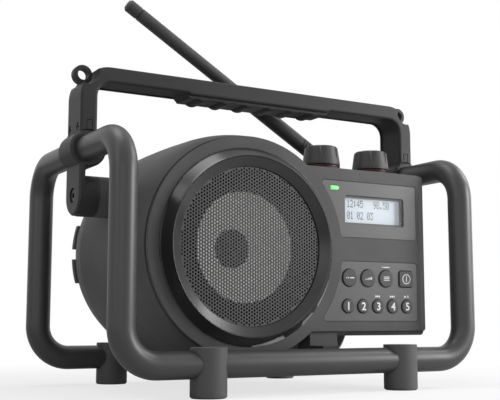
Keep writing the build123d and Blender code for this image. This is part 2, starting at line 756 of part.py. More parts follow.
def make_front_shell():
    box = box_body(0, shell_front_y, front_end_y)
    box = chamfer(edges_at_y(box, shell_front_y, lambda x, z: x > 1), box_front_edge)
    lug = block(lug_x0, lug_x1, shell_front_y, lug_back_y, belly_low, box_low + wall)
    pedestals = [make_pedestal(x) for x in knob_x.values()]
    shell = joined(barrel_front(0, shell_front_y, front_end_y), box, lug, *pedestals)
    shell = shell - barrel_front(wall, inner_front_y, front_end_y + over)
    shell = shell - box_body(wall, inner_front_y, front_end_y + over)
    keep = barrel_front(wall / 2, shell_front_y, front_end_y) + box_body(wall / 2, shell_front_y, front_end_y)
    for x, z in boss_places:
        shell = shell + (rod("y", (x, z), inner_front_y - over, front_end_y, shell_boss_r) & keep)
    for x, z in box_boss_places:
        shell = shell + (rod("y", (x, z), lug_back_y, front_end_y, shell_boss_r) & keep)
    for x, z in boss_places + box_boss_places:
        shell = shell - rod("y", (x, z), shell_screw_tip_y - over, front_end_y + over, shell_screw_r + fit)
    for x, z in board_posts:
        shell = shell + rod("y", (x, z), inner_front_y - over, board_front_y - seat, board_post_r)
    x0, x1, z0, z1 = panel_window
    shell = shell - block(x0, x1, shell_front_y - over, inner_front_y + over, z0, z1)
    x0, x1, z0, z1 = lamp_box
    shell = shell - block(x0 - lamp_room, x1 + lamp_room, shell_front_y - over, inner_front_y + over,
                          z0 - lamp_room, z1 + lamp_room)
    shell = shell - rod("y", speaker_axis, shell_front_y - over, inner_front_y + over, speaker_hole_r)
    for x in knob_x.values():
        shell = shell - rod("z", (x, knob_y), box_top - 2 * wall, pedestal_top_z + over, bushing_r + slip)
    for x, z in speaker_screw_places:
        shell = shell - rod("y", (x, z), inner_front_y - speaker_screw_bite - 2 * seat, inner_front_y + over,
                            speaker_screw_r + fit)
    return shell


def make_rear_shell():
    box = box_body(0, rear_start_y, box_rear_y)
    box = fillet(edges_at_y(box, box_rear_y, lambda x, z: x > 1), box_edge - 0.5)
    top = box_low + 4 * wall
    right, slope = belly_right, belly_slope
    belly = prism([(barrel_x, belly_low), (right - slope, belly_low), (right, box_low), (right, top - 2),
                   (barrel_x, top - 2)], belly_front_y, belly_rear_y)
    boss_end = clamp_boss_x - bush_t
    left_root = barrel_seam_r - barrel_x - 6 * wall
    bosses = [rod("x", (carry_y, hanger_z), -boss_end, -left_root, hanger_r),
              rod("x", (carry_y, hanger_z), box_right - 2 * wall, boss_end, hanger_r)]
    shell = joined(barrel_rear(0, rear_start_y, barrel_rear_y), box, belly, *bosses)
    inner = barrel_rear(wall, rear_start_y - over, bay_wall_y)
    inner = inner + box_body(wall, rear_start_y - over, box_rear_y - wall)
    inner = inner + prism([(barrel_x, belly_low + wall), (right - slope - wall, belly_low + wall),
                           (right - wall, box_low + 1), (right - wall, top), (barrel_x, top)],
                          belly_front_y + wall, belly_rear_y - wall)
    for side in (-1, 1):
        core = sideways_rod(side, carry_y, hanger_z, left_root + wall, boss_end, hanger_core_r)
        inner = inner - core
    shell = shell - inner
    keep = barrel_rear(wall / 2, rear_start_y, barrel_rear_y) + box_body(wall / 2, rear_start_y, box_rear_y)
    for x, z in boss_places:
        shell = shell + (rod("y", (x, z), rear_start_y, bay_wall_y + over, shell_boss_r) & keep)
        shell = shell - rod("y", (x, z), shell_sink_y, barrel_rear_y + over, shell_sink_r)
    for x, z in box_boss_places:
        shell = shell + (rod("y", (x, z), rear_start_y, box_rear_y - over, shell_boss_r) & keep)
        shell = shell - rod("y", (x, z), shell_sink_y, box_rear_y + over, shell_sink_r)
    for x, z in boss_places + box_boss_places:
        shell = shell - rod("y", (x, z), rear_start_y - over, shell_sink_y + over, shell_screw_r + fit)
    for x, z in main_board_posts:
        shell = shell + rod("y", (x, z), main_board_y + board_t + seat, box_rear_y - over, board_post_r)
    shell = shell - rod("y", speaker_axis, recess_floor_y, barrel_rear_y + over, door_r + door_gap)
    shell = shell - rod("y", speaker_axis, bay_wall_y - over, barrel_rear_y, bay_hole_r)
    shell = shell + make_latch_guards()
    door_edge_x = barrel_x - door_r
    notch = block(barrel_x - barrel_seam_r - 2 * wall, door_edge_x + latch_travel, recess_floor_y - notch_depth,
                  barrel_rear_y + over, barrel_z - latch_half - slip, barrel_z + latch_half + slip)
    shell = shell - notch
    for side in (-1, 1):
        shell = shell - sideways_rod(side, carry_y, hanger_z, handle_half_w - hanger_sink - hanger_length - 1,
                                     boss_end + over, hanger_shank_r + fit)
    shell = shell + hinge_knuckles(False)
    shell = shell - rod("z", (antenna_x, antenna_y), box_top - wall - over, box_top + over, antenna_spigot_r + fit)
    x0, x1, z0, z1 = socket_box
    shell = shell - block(x0, x1, box_rear_y - wall - over, box_rear_y + over, z0, z1)
    return shell - rod("y", gland_place, box_rear_y - wall - over, box_rear_y + over, gland_r)


def make_latch_guards():
    """Rib along the barrel's rear edge on the latch side, before the latch's notch parts it in two."""
    rib = tube("y", speaker_axis, barrel_rear_y - guard_t, barrel_rear_y, barrel_rear_r + guard_rise,
               barrel_rear_r - wall)
    return rib & block(barrel_x - 2 * barrel_seam_r, barrel_x, barrel_rear_y - 2 * guard_t, barrel_rear_y + over,
                       barrel_z - guard_half, barrel_z + guard_half)


def make_shell_screw(x, z):
    head = rod("y", (x, z), shell_sink_y, shell_sink_y + shell_screw_head_h, shell_screw_head_r)
    return head + rod("y", (x, z), shell_screw_tip_y, shell_sink_y, shell_screw_r)


def hinge_knuckles(on_door):
    """Hinge eyes of the battery door: the middle one on the door, the outer two on the housing."""
    mid, r = barrel_z, hinge_knuckle_r
    if on_door:
        spans = [(mid - hinge_door_half, mid + hinge_door_half)]
    else:
        spans = [(mid - hinge_half, mid - hinge_door_half - slip), (mid + hinge_door_half + slip, mid + hinge_half)]
    eyes = []
    for low, high in spans:
        eye = rod("z", (hinge_x, hinge_y), low, high, r)
        if on_door:
            arm = block(barrel_x + door_r - 3 * wall, hinge_x, barrel_rear_y + slip, hinge_y + hinge_arm_rise,
                        low, high)
        else:
            arm = block(hinge_x - r, hinge_x + r, barrel_rear_y - over, hinge_y, low, high)
        eyes.append(eye + arm - rod("z", (hinge_x, hinge_y), low - over, high + over, hinge_pin_r + fit))
    return joined(*eyes)


parts["front_shell"] = make_front_shell()
parts["rear_shell"] = make_rear_shell()
parts["shell_screws"] = group([make_shell_screw(x, z) for x, z in boss_places + box_boss_places])


# ---- fascia, its labels and keys ------------------------------------------------------------------
def key_places():
    """Every button: name, x, z and either a radius or None for the square one."""
    row = {"source_button": info_x - 2 * key_pitch, "loudness_button": info_x - key_pitch, "info_button": info_x}
    places = [(name, x, key_row_z, key_r) for name, x in row.items()]
    places.append(("power_button", power_x, key_row_z, None))
    for i in range(preset_count):
        places.append((f"preset_{i + 1}", preset_x0 + i * preset_pitch, preset_z, preset_r))
    return places


def fascia_outline(inset, y0, y1):
    disc = rod("y", speaker_axis, y0, y1, ring_r - inset)
    panel = prism([(barrel_x, fascia_low + inset), (fascia_right - inset, fascia_low + inset),
                   (fascia_right - inset, fascia_top - inset), (barrel_x, fascia_top - inset)],
                  y0, y1, [0, fascia_corner_r, fascia_corner_r, 0])
    return disc, panel


def label_shape(z_range, y0, y1, inset=0.0):
    """Panel label: straight on three sides, with its left side curved round the speaker."""
    low, high = z_range
    plate = block(barrel_x, label_right - inset, y0, y1, low + inset, high - inset)
    plate = plate - rod("y", speaker_axis, y0 - over, y1 + over, ring_r + inset)
    return fillet(plate.edges().filter_by(Axis.Y), label_corner_r - inset)


def lcd_window(y0, y1, grow=0.0):
    """Block of the display window with round corners, grown by the same amount all round."""
    x0, x1, z0, z1 = lcd_box
    window = block(x0 - grow, x1 + grow, y0, y1, z0 - grow, z1 + grow)
    return fillet(window.edges().filter_by(Axis.Y), lcd_corner_r + grow)


def key_shape(x, z, r, grow, y0, y1):
    if r is not None:
        return rod("y", (x, z), y0, y1, r + grow)
    w, h = power_w / 2 + grow, power_h / 2 + grow
    return prism([(x - w, z - h), (x + w, z - h), (x + w, z + h), (x - w, z + h)], y0, y1, power_corner_r + grow)


def make_fascia():
    front, back = fascia_front_y, fascia_front_y + fascia_t
    disc, panel = fascia_outline(0, front, back)
    corner = [(fascia_right - bevel_w, front), (fascia_right + 1, front + bevel_d + bevel_d / bevel_w),
              (fascia_right + 1, front - 1), (fascia_right - bevel_w, front - 1)]
    bevel = make_face(Polyline(*[(x, y, fascia_low - 1) for x, y in corner], close=True))
    panel = panel - extrude(bevel, amount=fascia_top - fascia_low + 2, dir=(0, 0, 1))
    fascia = joined(disc, panel, *fascia_outline(groove_d, back, fascia_back_y))
    hole_r = grille_r + bezel_tail + 2 * seat
    fascia = fascia - rod("y", speaker_axis, front - over, fascia_back_y + over, hole_r)
    for z_range in (upper_label_z, lower_label_z):
        fascia = fascia - label_shape(z_range, front - over, front + label_depth)
    fascia = fascia - lcd_window(front, front + lens_sink + lens_t)
    fascia = fascia - lcd_window(front, fascia_back_y + over, -lcd_ledge)
    x0, x1, z0, z1 = lamp_box
    fascia = fascia - block(x0, x1, front, fascia_back_y + over, z0, z1)
    for name, x, z, r in key_places():
        fascia = fascia - key_shape(x, z, r, slip, front - over, fascia_back_y + over)
    return fascia


def make_label(z_range):
    back = fascia_front_y + label_depth
    label = label_shape(z_range, back - label_t, back, slip)
    label = label - lcd_window(back - over, back + over, slip)
    x0, x1, z0, z1 = lamp_box
    label = label - block(x0 - slip, x1 + slip, back - over, back + over, z0 - slip, z1 + slip)
    for name, x, z, r in key_places():
        label = label - key_shape(x, z, r, slip + key_gap, back - over, back + over)
    return label


def make_button(x, z, r):
    front = fascia_front_y - key_proud
    shelf = fascia_back_y + slip
    cap = key_shape(x, z, r, 0, front, shelf)
    cap = fillet(edges_at_y(cap, front, lambda a, b: True), key_edge)
    flange = key_shape(x, z, r, key_flange, shelf, shelf + key_flange_t)
    stem = rod("y", (x, z), shelf, switch_top_y - key_play - key_travel, key_stem_r)
    return cap + flange + stem


def make_key_board():
    x0, x1, z0, z1 = board_box
    board = block(x0, x1, board_front_y, board_front_y + board_t, z0, z1)
    x0, x1, z0, z1 = connector_box
    board = board + block(x0, x1, board_front_y + board_t, board_front_y + board_t + connector_t, z0, z1)
    half = switch_w / 2
    for name, x, z, r in key_places():
        board = board + block(x - half, x + half, board_front_y - switch_h, board_front_y, z - half, z + half)
        board = board + rod("y", (x, z), switch_top_y, board_front_y - switch_h, plunger_r)
    x0, x1, z0, z1 = lamp_box
    middle = (x0 + x1) / 2
    lamp_chip = block(middle - 1.5, middle + 1.5, board_front_y - 1.2, board_front_y, z0, z1 - 0.5)
    return board + lamp_chip


def make_display_module():
    x0, x1, z0, z1 = lcd_box
    glass = block(x0 - display_margin_x, x1 + display_margin_x, display_front_y, board_front_y - seat,
                  z0 - display_margin_z, z1 + display_margin_z)
    return chamfer(glass.edges().filter_by(Axis.Y), key_edge)


def make_lens():
    front = fascia_front_y + lens_sink
    return lcd_window(front, front + lens_t - seat, -seat)


def make_lamp():
    x0, x1, z0, z1 = lamp_box
    front = fascia_front_y - lamp_proud
    window = block(x0 + seat, x1 - seat, front, front + lamp_window_t, z0 + seat, z1 - seat)
    middle = (x0 + x1) / 2
    guide = block(middle - 1, middle + 1, front + lamp_window_t, board_front_y - 1.4, z0 + 0.5, z1 - 1)
    return window + guide


parts["fascia"] = make_fascia()
parts["display_plate"] = make_label(upper_label_z)
parts["key_plate"] = make_label(lower_label_z)
parts["display_lens"] = make_lens()
parts["display_module"] = make_display_module()
parts["status_lamp"] = make_lamp()
for name, x, z, r in key_places():
    parts[name] = make_button(x, z, r)
parts["key_board"] = make_key_board()


# ---- speaker ----------------------------------------------------------------------------------
def make_bezel():
    front = fascia_front_y
    r0, r1, y1 = bezel_r, bezel_crest_r, bezel_crest_y
    seat_y = grille_y + grille_t + seat
    tail_r, ledge_r = grille_r + bezel_tail, grille_r - bezel_ledge
    foot, skirt = (r0, front - seat), (r0 - 0.3, front - 0.8)
    flank, brow = (r1 + bezel_crest_edge, y1 + bezel_crest_edge), (r1 - bezel_crest_edge, y1 + bezel_crest_edge)
    mouth, shelf = (grille_r + 0.3, grille_y - 1.2), (grille_r + slip, seat_y)
    outline = [
        Line(foot, skirt),
        Line(skirt, flank),
        ThreePointArc(flank, (r1, y1), brow),
        Line(brow, mouth),
        Line(mouth, shelf),
        Line(shelf, (ledge_r, seat_y)),
        Line((ledge_r, seat_y), (ledge_r, front + 2)),
        Line((ledge_r, front + 2), (tail_r, front + 2)),
        Line((tail_r, front + 2), (tail_r, front - seat)),
        Line((tail_r, front - seat), foot),
    ]
    return turned_curve(outline)


def make_basket():
    y0, back = basket_front_y, basket_rear_y
    mouth_r, tail_r, hole_r = speaker_flange_in_r + 5, magnet_r + 0.5, coil_r + 2.3
    rim = y0 + speaker_flange_t
    flange = tube("y", speaker_axis, y0, rim, speaker_flange_r, speaker_flange_in_r)
    body = turned([(mouth_r, rim), (tail_r, back - 2), (tail_r, back), (hole_r, back), (hole_r, back - basket_sheet),
                   (tail_r - 1.7, back - basket_sheet), (mouth_r - basket_lip, rim - 0.5),
                   (mouth_r - basket_lip, rim - 1), (mouth_r, rim - 1)])
    inner, outer, half = basket_window
    for i in range(basket_windows):
        window = block(inner, outer, rim + 6, back - 7, -half, half)
        turn = (i + 0.5) * 360 / basket_windows
        body = body - Pos(barrel_x, 0, barrel_z) * Rot(0, turn, 0) * window
    basket = flange + body
    for x, z in speaker_screw_places:
        basket = basket - rod("y", (x, z), y0 - over, rim + over, speaker_screw_r + slip)
    return basket


def make_magnet():
    """Front plate, ferrite ring, and back plate with its pole."""
    y = magnet_front_y
    ferrite_y = y + pole_plate_t
    back_y = ferrite_y + magnet_t
    front = tube("y", speaker_axis, y, ferrite_y, pole_plate_r, coil_r + pole_gap)
    ferrite = tube("y", speaker_axis, ferrite_y, back_y, magnet_r, magnet_hole_r)
    back = rod("y", speaker_axis, back_y, back_y + pole_plate_t, pole_plate_r)
    back = back + rod("y", speaker_axis, y, back_y, coil_r - coil_wall - pole_gap + 0.4)
    back = fillet(back.edges().filter_by(GeomType.CIRCLE).sort_by(Axis.Y)[-1], magnet_edge)
    return group([front, ferrite, back])


def make_surround():
    """Half-round roll between the basket's flange and the cone."""
    y, t = inner_front_y, surround_t
    lip_out, roll_out, roll_in = speaker_hole_r - 0.4, speaker_flange_in_r - 2, cone_r + slip
    mid = (roll_out + roll_in) / 2
    outline = [
        Line((lip_out, y), (lip_out, y - t)),
        Line((lip_out, y - t), (roll_out, y - t)),
        ThreePointArc((roll_out, y - t), (mid, y - surround_rise - t), (roll_in, y - t)),
        Line((roll_in, y - t), (roll_in, y + cone_sink)),
        Line((roll_in, y + cone_sink), (roll_in + t, y + cone_sink)),
        Line((roll_in + t, y + cone_sink), (roll_in + t, y)),
        ThreePointArc((roll_in + t, y), (mid, y - surround_rise), (roll_out - t, y)),
        Line((roll_out - t, y), (lip_out, y)),
    ]
    return turned_curve(outline)


def make_cone():
    y, neck_r = inner_front_y + cone_sink, coil_r + 0.02
    return turned([(cone_r, y - cone_edge), (cone_r, y + cone_edge), (neck_r + 1, cone_neck_y),
                   (neck_r, cone_neck_y), (neck_r, cone_neck_y - 1.4)])


def make_spider():
    y = spider_y
    disc = tube("y", speaker_axis, y, y + spider_t, magnet_r - seat, coil_r + pole_gap)
    for i in range(spider_waves):
        r = coil_r + 8 + spider_wave_pitch * i
        disc = disc + tube("y", speaker_axis, y - 1, y, r + 1.5, r - 1.5)
    return disc


def make_dust_cap():
    rim_r = coil_r + 0.8
    dome_r = (rim_r ** 2 + dust_cap_rise ** 2) / (2 * dust_cap_rise)
    middle = Pos(barrel_x, dust_cap_rim_y - dust_cap_rise + dome_r, barrel_z)
    dome = middle * Sphere(dome_r) - middle * Sphere(dome_r - dust_cap_t)
    return dome & rod("y", speaker_axis, dust_cap_rim_y - dust_cap_rise - over, dust_cap_rim_y, rim_r + 2)


def make_speaker_screw(x, z):
    y = basket_front_y + speaker_flange_t
    head = rod("y", (x, z), y, y + speaker_screw_head_h, speaker_screw_head_r)
    return head + rod("y", (x, z), inner_front_y - speaker_screw_bite, y, speaker_screw_r)


parts["speaker_bezel"] = make_bezel()
parts["speaker_grille"] = rod("y", speaker_axis, grille_y, grille_y + grille_t, grille_r)
parts["speaker_basket"] = make_basket()
parts["speaker_magnet"] = make_magnet()
parts["speaker_suspension"] = group([make_surround(), make_spider()])
parts["speaker_cone"] = make_cone()
parts["dust_cap"] = make_dust_cap()
parts["voice_coil"] = tube("y", speaker_axis, *coil_y, coil_r, coil_r - coil_wall)
parts["speaker_screws"] = group([make_speaker_screw(x, z) for x, z in speaker_screw_places])


# ---- rail pads --------------------------------------------------------------------------------
def make_rail_pads():
    """Rubber blocks that steady the housing on the two bottom rails."""
    low, high = rail_low_z + 4.5, rail_low_z + tube_r + 2
    front = block(lug_x0, rail_pad_x1, -cage_half_d + 4, shell_front_y - seat, low, high)
    front = front - rod("x", (-cage_half_d, rail_low_z), lug_x0 - over, rail_pad_x1 + over, tube_r + fit)
    x0, x1 = barrel_x - rail_pad_half, barrel_x + rail_pad_half
    rear = block(x0, x1, barrel_rear_y + seat, cage_half_d - 2, low + 2, high + 1)
    rear = rear - rod("x", (cage_half_d, rail_low_z), x0 - over, x1 + over, tube_r + fit)
    return group([front, rear])


parts["rail_pads"] = make_rail_pads()


# ---- knobs ------------------------------------------------------------------------------------
def make_knob(x, shaft_gap):
    z0, z1 = knob_base_z, knob_base_z + knob_h
    body = turned_z([(0, z0), (knob_base_r, z0), (knob_base_r, z0 + knob_skirt_h), (knob_top_r, z1 - knob_edge),
                     (knob_top_r - knob_edge, z1), (0, z1)], x, knob_y)
    reach = knob_top_r + flute_r - flute_bite
    for i in range(flute_count):
        a = radians(360 / flute_count * i + flute_turn)
        place = Plane((x + reach * cos(a), knob_y + reach * sin(a), z0 + flute_start))
        body = body - Solid.make_cone(flute_r * flute_foot, flute_r, knob_h - flute_start, place)
    body = body - rod("z", (x, knob_y), z0 - over, z0 + 2.5, knob_base_r - knob_ring_w)
    hub = rod("z", (x, knob_y), z0, z0 + knob_hub_h, knob_shaft_r + knob_hub_wall)
    return body + hub - rod("z", (x, knob_y), z0 - over, z1 - knob_cap_t, knob_shaft_r + shaft_gap)


def make_knob_ring(x):
    return tube("z", (x, knob_y), pedestal_top_z, pedestal_top_z + knob_ring_h, knob_base_r,
                knob_base_r - knob_ring_w)


def make_encoder(x):
    w = encoder_w / 2
    low = encoder_top_z - encoder_h
    body = block(x - w, x + w, knob_y - w, knob_y + w, low, encoder_top_z)
    body = body + rod("z", (x, knob_y), encoder_top_z, pedestal_top_z - over, bushing_r)
    return body - rod("z", (x, knob_y), low + encoder_floor, pedestal_top_z, knob_shaft_r + fit)


def make_knob_shaft(x):
    low = encoder_top_z - encoder_h + encoder_floor + knob_push + 2 * seat
    return rod("z", (x, knob_y), low, knob_base_z + knob_h - knob_cap_t, knob_shaft_r)


for name, x in knob_x.items():
    parts[f"{name}_knob"] = make_knob(x, fit if name == "tuning" else 0)
    parts[f"{name}_shaft"] = make_knob_shaft(x)
parts["knob_rings"] = group([make_knob_ring(x) for x in knob_x.values()])
parts["encoders"] = group([make_encoder(x) for x in knob_x.values()])


# ---- antenna ----------------------------------------------------------------------------------
def make_antenna_base():
    x, y, z0 = antenna_x, antenna_y, box_top + seat
    base = rod("z", (x, y), z0, z0 + antenna_base_h, antenna_base_r)
    base = fillet(base.edges().filter_by(GeomType.CIRCLE).sort_by(Axis.Z)[-1], antenna_base_edge)
    near = antenna_eye_half + antenna_eye_gap
    for side in (-1, 1):
        y0, y1 = sorted([y + side * near, y + side * (near + antenna_ear_t)])
        ear = rod("y", (x, antenna_pivot_z), y0, y1, antenna_ear_r)
        ear = ear + block(x - antenna_ear_r, x + antenna_ear_r, y0, y1, z0 + antenna_base_h - wall, antenna_pivot_z)
        base = base + ear
    inside = box_top - wall
    base = base + rod("z", (x, y), inside - antenna_spigot_h, z0 + over, antenna_spigot_r)
    base = base + rod("z", (x, y), inside - seat - antenna_circlip_t * 2, inside - seat, antenna_spigot_r + 2.5)
    return base - rod("y", (x, antenna_pivot_z), y - 20, y + 20, antenna_pin_r + fit)


def along_whip(shape):
    """Takes a shape built upright on the origin to the antenna's pivot and lean."""
    return Pos(antenna_x, antenna_y, antenna_pivot_z) * Rot(0, antenna_lean - 90, 0) * shape


def whip_groove(r, h):
    """Points of a groove round the whip, of radius r there, that starts at height h."""
    deep, top = r - antenna_ring_depth, h + antenna_ring_groove
    return [(r, h), (deep, h), (deep, top), (r, top)]


def make_whip():
    r, sleeve, tip = antenna_r, antenna_sleeve_r, antenna_length
    profile = [(0, antenna_neck_h), (r - 1.4, antenna_neck_h), (sleeve, antenna_taper_h)]
    for i in range(antenna_rings):
        profile += whip_groove(sleeve, antenna_ring_start + i * antenna_ring_pitch)
    profile += [(sleeve, antenna_sleeve_h), (r, antenna_sleeve_h + 1.5)]
    profile += whip_groove(r, tip - antenna_tip_h)
    profile += [(r, tip - 2), (r - 2, tip), (0, tip)]
    half = antenna_eye_half
    eye = Solid.make_cylinder(antenna_ear_r - slip, 2 * half, Plane((0, -half, 0), z_dir=(0, 1, 0)))
    neck = block(-antenna_neck_half, antenna_neck_half, -half, half, 0, antenna_neck_h + 0.4)
    hole = Solid.make_cylinder(antenna_pin_r + fit, 4 * half, Plane((0, -2 * half, 0), z_dir=(0, 1, 0)))
    return along_whip(turned_z(profile, 0, 0) + eye + neck - hole)


parts["antenna_base"] = make_antenna_base()
parts["antenna_pin"] = rod("y", (antenna_x, antenna_pivot_z), antenna_y - antenna_pin_half,
                           antenna_y + antenna_pin_half, antenna_pin_r)
parts["antenna_whip"] = make_whip()


# ---- battery bay --------------------------------------------------------------------------------
def make_door():
    front, back = recess_floor_y + slip, barrel_rear_y + door_proud
    door = rod("y", speaker_axis, front, back, door_r)
    door = fillet(edges_at_y(door, back, lambda x, z: True), door_edge)
    for i in range(door_rings):
        r = (i + 2) * door_ring_pitch
        door = door - tube("y", speaker_axis, back - door_ring_depth, back + over, r, r - door_ring_w)
    door = door + hinge_knuckles(True)
    edge_x = barrel_x - door_r
    slot = block(edge_x - over, edge_x + latch_l, front - over, back + 2 * over, barrel_z - latch_half - slip,
                 barrel_z + latch_half + slip)
    return door - slot


def make_latch():
    edge_x = barrel_x - door_r
    y0, y1 = recess_floor_y + slip, barrel_rear_y + door_proud + latch_proud
    bar = block(edge_x - latch_nose, edge_x + latch_l - latch_travel - slip, y0, y1,
                barrel_z - latch_half, barrel_z + latch_half)
    for i in range(latch_ribs):
        x = edge_x + 1.5 + latch_rib_pitch * i
        bar = bar - block(x, x + latch_rib_w, y1 - latch_rib_depth, y1 + over, barrel_z - latch_half + 1.5,
                          barrel_z + latch_half - 1.5)
    return bar


def make_tray():
    half_x = cell_l + tray_margin + tray_wall
    half_z = 2 * cell_r + tray_margin + tray_wall
    x, z = speaker_axis
    front = bay_wall_y - seat
    box = block(x - half_x, x + half_x, tray_back_y, front, z - half_z, z + half_z)
    flange = rod("y", (x, z), front - tray_flange_t, front, door_r + 1)
    inner = block(x - half_x + tray_wall, x + half_x - tray_wall, tray_back_y + tray_wall, front + over,
                  z - half_z + tray_wall, z + half_z - tray_wall)
    return box + flange - inner


def make_cells():
    cells = []
    for sx in (-1, 1):
        for sz in (-1, 1):
            x, z = barrel_x + sx * (cell_l / 2 + 1.3), barrel_z + sz * (cell_r + cell_gap)
            end = x + cell_l / 2
            can = rod("x", (cell_y, z), x - cell_l / 2, end - cell_tip_h, cell_r)
            cells.append(can + rod("x", (cell_y, z), end - cell_tip_h, end, cell_tip_r))
    return group(cells)


def make_contacts():
    half_x = cell_l + tray_margin
    t = contact_t
    plates = []
    for sz in (-1, 1):
        z = barrel_z + sz * (cell_r + cell_gap)
        for x0, x1 in ((barrel_x - half_x, barrel_x - half_x + t), (barrel_x - 0.6 * t, barrel_x + 0.6 * t),
                       (barrel_x + half_x - t, barrel_x + half_x)):
            plates.append(block(x0, x1, tray_back_y + tray_wall, cell_y + contact_half, z - contact_half,
                                z + contact_half))
    return group(plates)


parts["battery_door"] = make_door()
parts["door_latch"] = make_latch()
parts["door_pin"] = rod("z", (hinge_x, hinge_y), barrel_z - hinge_half, barrel_z + hinge_half, hinge_pin_r)
parts["battery_tray"] = make_tray()
parts["batteries"] = make_cells()
parts["battery_contacts"] = make_contacts()


# ---- electronics and rear sockets ---------------------------------------------------------------
def make_main_board():
    y = main_board_y
    x0, x1, z0, z1 = main_board_box
    board = block(x0, x1, y, y + board_t, z0, z1)
    for x, z, w, h, t in chips:
        board = board + block(x - w / 2, x + w / 2, y - t, y, z - h / 2, z + h / 2)
    for place in can_places:
        board = board + rod("y", place, y - can_h, y, can_r)
    return board


def make_socket_plate():
    x0, x1, z0, z1 = socket_box
    inside = box_rear_y - wall
    outer = block(x0 + seat, x1 - seat, inside - over, box_rear_y - socket_sink, z0 + seat, z1 - seat)
    lip = block(x0 - socket_lip, x1 + socket_lip, inside - seat - socket_lip_t, inside - seat, z0 - socket_lip,
                z1 + socket_lip)
    jack = rod("y", aux_place, box_rear_y - aux_depth - wall, inside, aux_r + aux_wall)
    return joined(outer, lip, jack) - rod("y", aux_place, box_rear_y - aux_depth, box_rear_y + over, aux_r)


def make_gland():
    """Grommet for a mains cord, clipped into the rear wall from both sides."""
    inside = box_rear_y - wall
    back, front = inside - seat - gland_clip_t, box_rear_y + gland_proud
    body = tube("y", gland_place, back, front, gland_r - fit, gland_hole_r)
    collar = tube("y", gland_place, box_rear_y + seat, front, gland_r + gland_collar, gland_hole_r)
    clip = tube("y", gland_place, back, inside - seat, gland_r + gland_clip, gland_hole_r)
    return joined(body, collar, clip)


parts["main_board"] = make_main_board()
parts["socket_plate"] = make_socket_plate()
parts["cord_gland"] = make_gland()


# ---- files ------------------------------------------------------------------------------------
os.makedirs("parts", exist_ok=True)
for name, shape in parts.items():
    export_step(shape, f"parts/{name}.step")
print(len(parts), "nodes")
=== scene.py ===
import math
import bpy
import numpy as np
from mathutils import Matrix, Vector


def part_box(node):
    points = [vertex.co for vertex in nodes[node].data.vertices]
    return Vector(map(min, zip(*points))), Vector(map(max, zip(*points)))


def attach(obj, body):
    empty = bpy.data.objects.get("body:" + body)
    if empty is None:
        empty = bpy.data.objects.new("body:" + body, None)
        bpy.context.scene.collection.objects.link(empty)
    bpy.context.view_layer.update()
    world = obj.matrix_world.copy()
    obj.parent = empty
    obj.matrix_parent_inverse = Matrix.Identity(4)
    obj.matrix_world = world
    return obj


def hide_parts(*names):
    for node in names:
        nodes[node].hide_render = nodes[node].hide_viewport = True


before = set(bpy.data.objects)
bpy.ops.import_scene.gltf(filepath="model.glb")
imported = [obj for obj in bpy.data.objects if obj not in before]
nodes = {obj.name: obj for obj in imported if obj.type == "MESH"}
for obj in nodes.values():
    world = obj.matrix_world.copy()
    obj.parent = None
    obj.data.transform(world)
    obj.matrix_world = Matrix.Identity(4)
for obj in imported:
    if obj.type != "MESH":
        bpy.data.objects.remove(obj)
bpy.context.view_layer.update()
mm = 0.001
fullWhite = (1, 1, 1, 1)


class Wire:
    # a socket of a node tree; an expression on wires adds the Math nodes that it needs
    def __init__(self, tree, socket=None):
        self.tree, self.socket = tree, socket

    def node(self, kind, settings=None, sockets=None, out=0):
        # settings go in first, then the values or links of the sockets, by name or number
        made = self.tree.nodes.new(kind)
        for name, value in (settings or {}).items():
            setattr(made, name, value)
        for name, value in (sockets or {}).items():
            if isinstance(value, Wire):
                self.tree.links.new(value.socket, made.inputs[name])
            else:
                made.inputs[name].default_value = value
        return Wire(self.tree, made.outputs[out] if made.outputs else None)

    def maths(self, operation, *values):
        # a Math node on wires and numbers
        return self.node("ShaderNodeMath", {"operation": operation}, dict(enumerate(values)))

    def __add__(self, other):
        return self.maths("ADD", self, other)

    def __sub__(self, other):
        return self.maths("SUBTRACT", self, other)

    def __rsub__(self, other):
        return self.maths("SUBTRACT", other, self)

    def __mul__(self, other):
        return self.maths("MULTIPLY", self, other)

    __radd__, __rmul__ = __add__, __mul__

    def larger(self, other):
        # the larger of two values
        return self.maths("MAXIMUM", self, other)

    def step(self, low, high):
        # a smooth step from 0 at low to 1 at high
        return self.node("ShaderNodeMapRange", {"interpolation_type": "SMOOTHSTEP"},
                         {"Value": self, "From Min": low, "From Max": high})

    def mix(self, first, second):
        # the colour first where this wire is 0, and second where it is 1
        return self.node("ShaderNodeMix", {"data_type": "RGBA"}, {0: self, 6: first, 7: second}, 2)

    def noise(self, size, detail=2.0, **more):
        # grains of about this size in metres, from 0 to 1
        sockets = {"Vector": self, "Scale": 1 / size, "Detail": detail, **more}
        return self.node("ShaderNodeTexNoise", {}, sockets)

    def axis(self, name):
        # one coordinate, X, Y or Z, of a vector
        return self.node("ShaderNodeSeparateXYZ", {}, {0: self}, name)

    def length(self):
        # the root of the sum of a vector's squares
        return self.node("ShaderNodeVectorMath", {"operation": "LENGTH"}, {0: self}, "Value")

    def dot(self, other):
        # the sum of the products of two vectors' coordinates: the cosine between two normals
        return self.node("ShaderNodeVectorMath", {"operation": "DOT_PRODUCT"}, {0: self, 1: other}, "Value")


def emptyTree(owner):
    # the cleared node tree of a material or a world, as a wire to start from
    owner.use_nodes = True
    owner.node_tree.nodes.clear()
    return Wire(owner.node_tree)


def grey(level, tint=(1, 1, 1)):
    # a screen level from 0 to 255, tinted, as a linear colour
    linear = ((level / 255 + 0.055) / 1.055) ** 2.4
    return (*(linear * part for part in tint), 1)


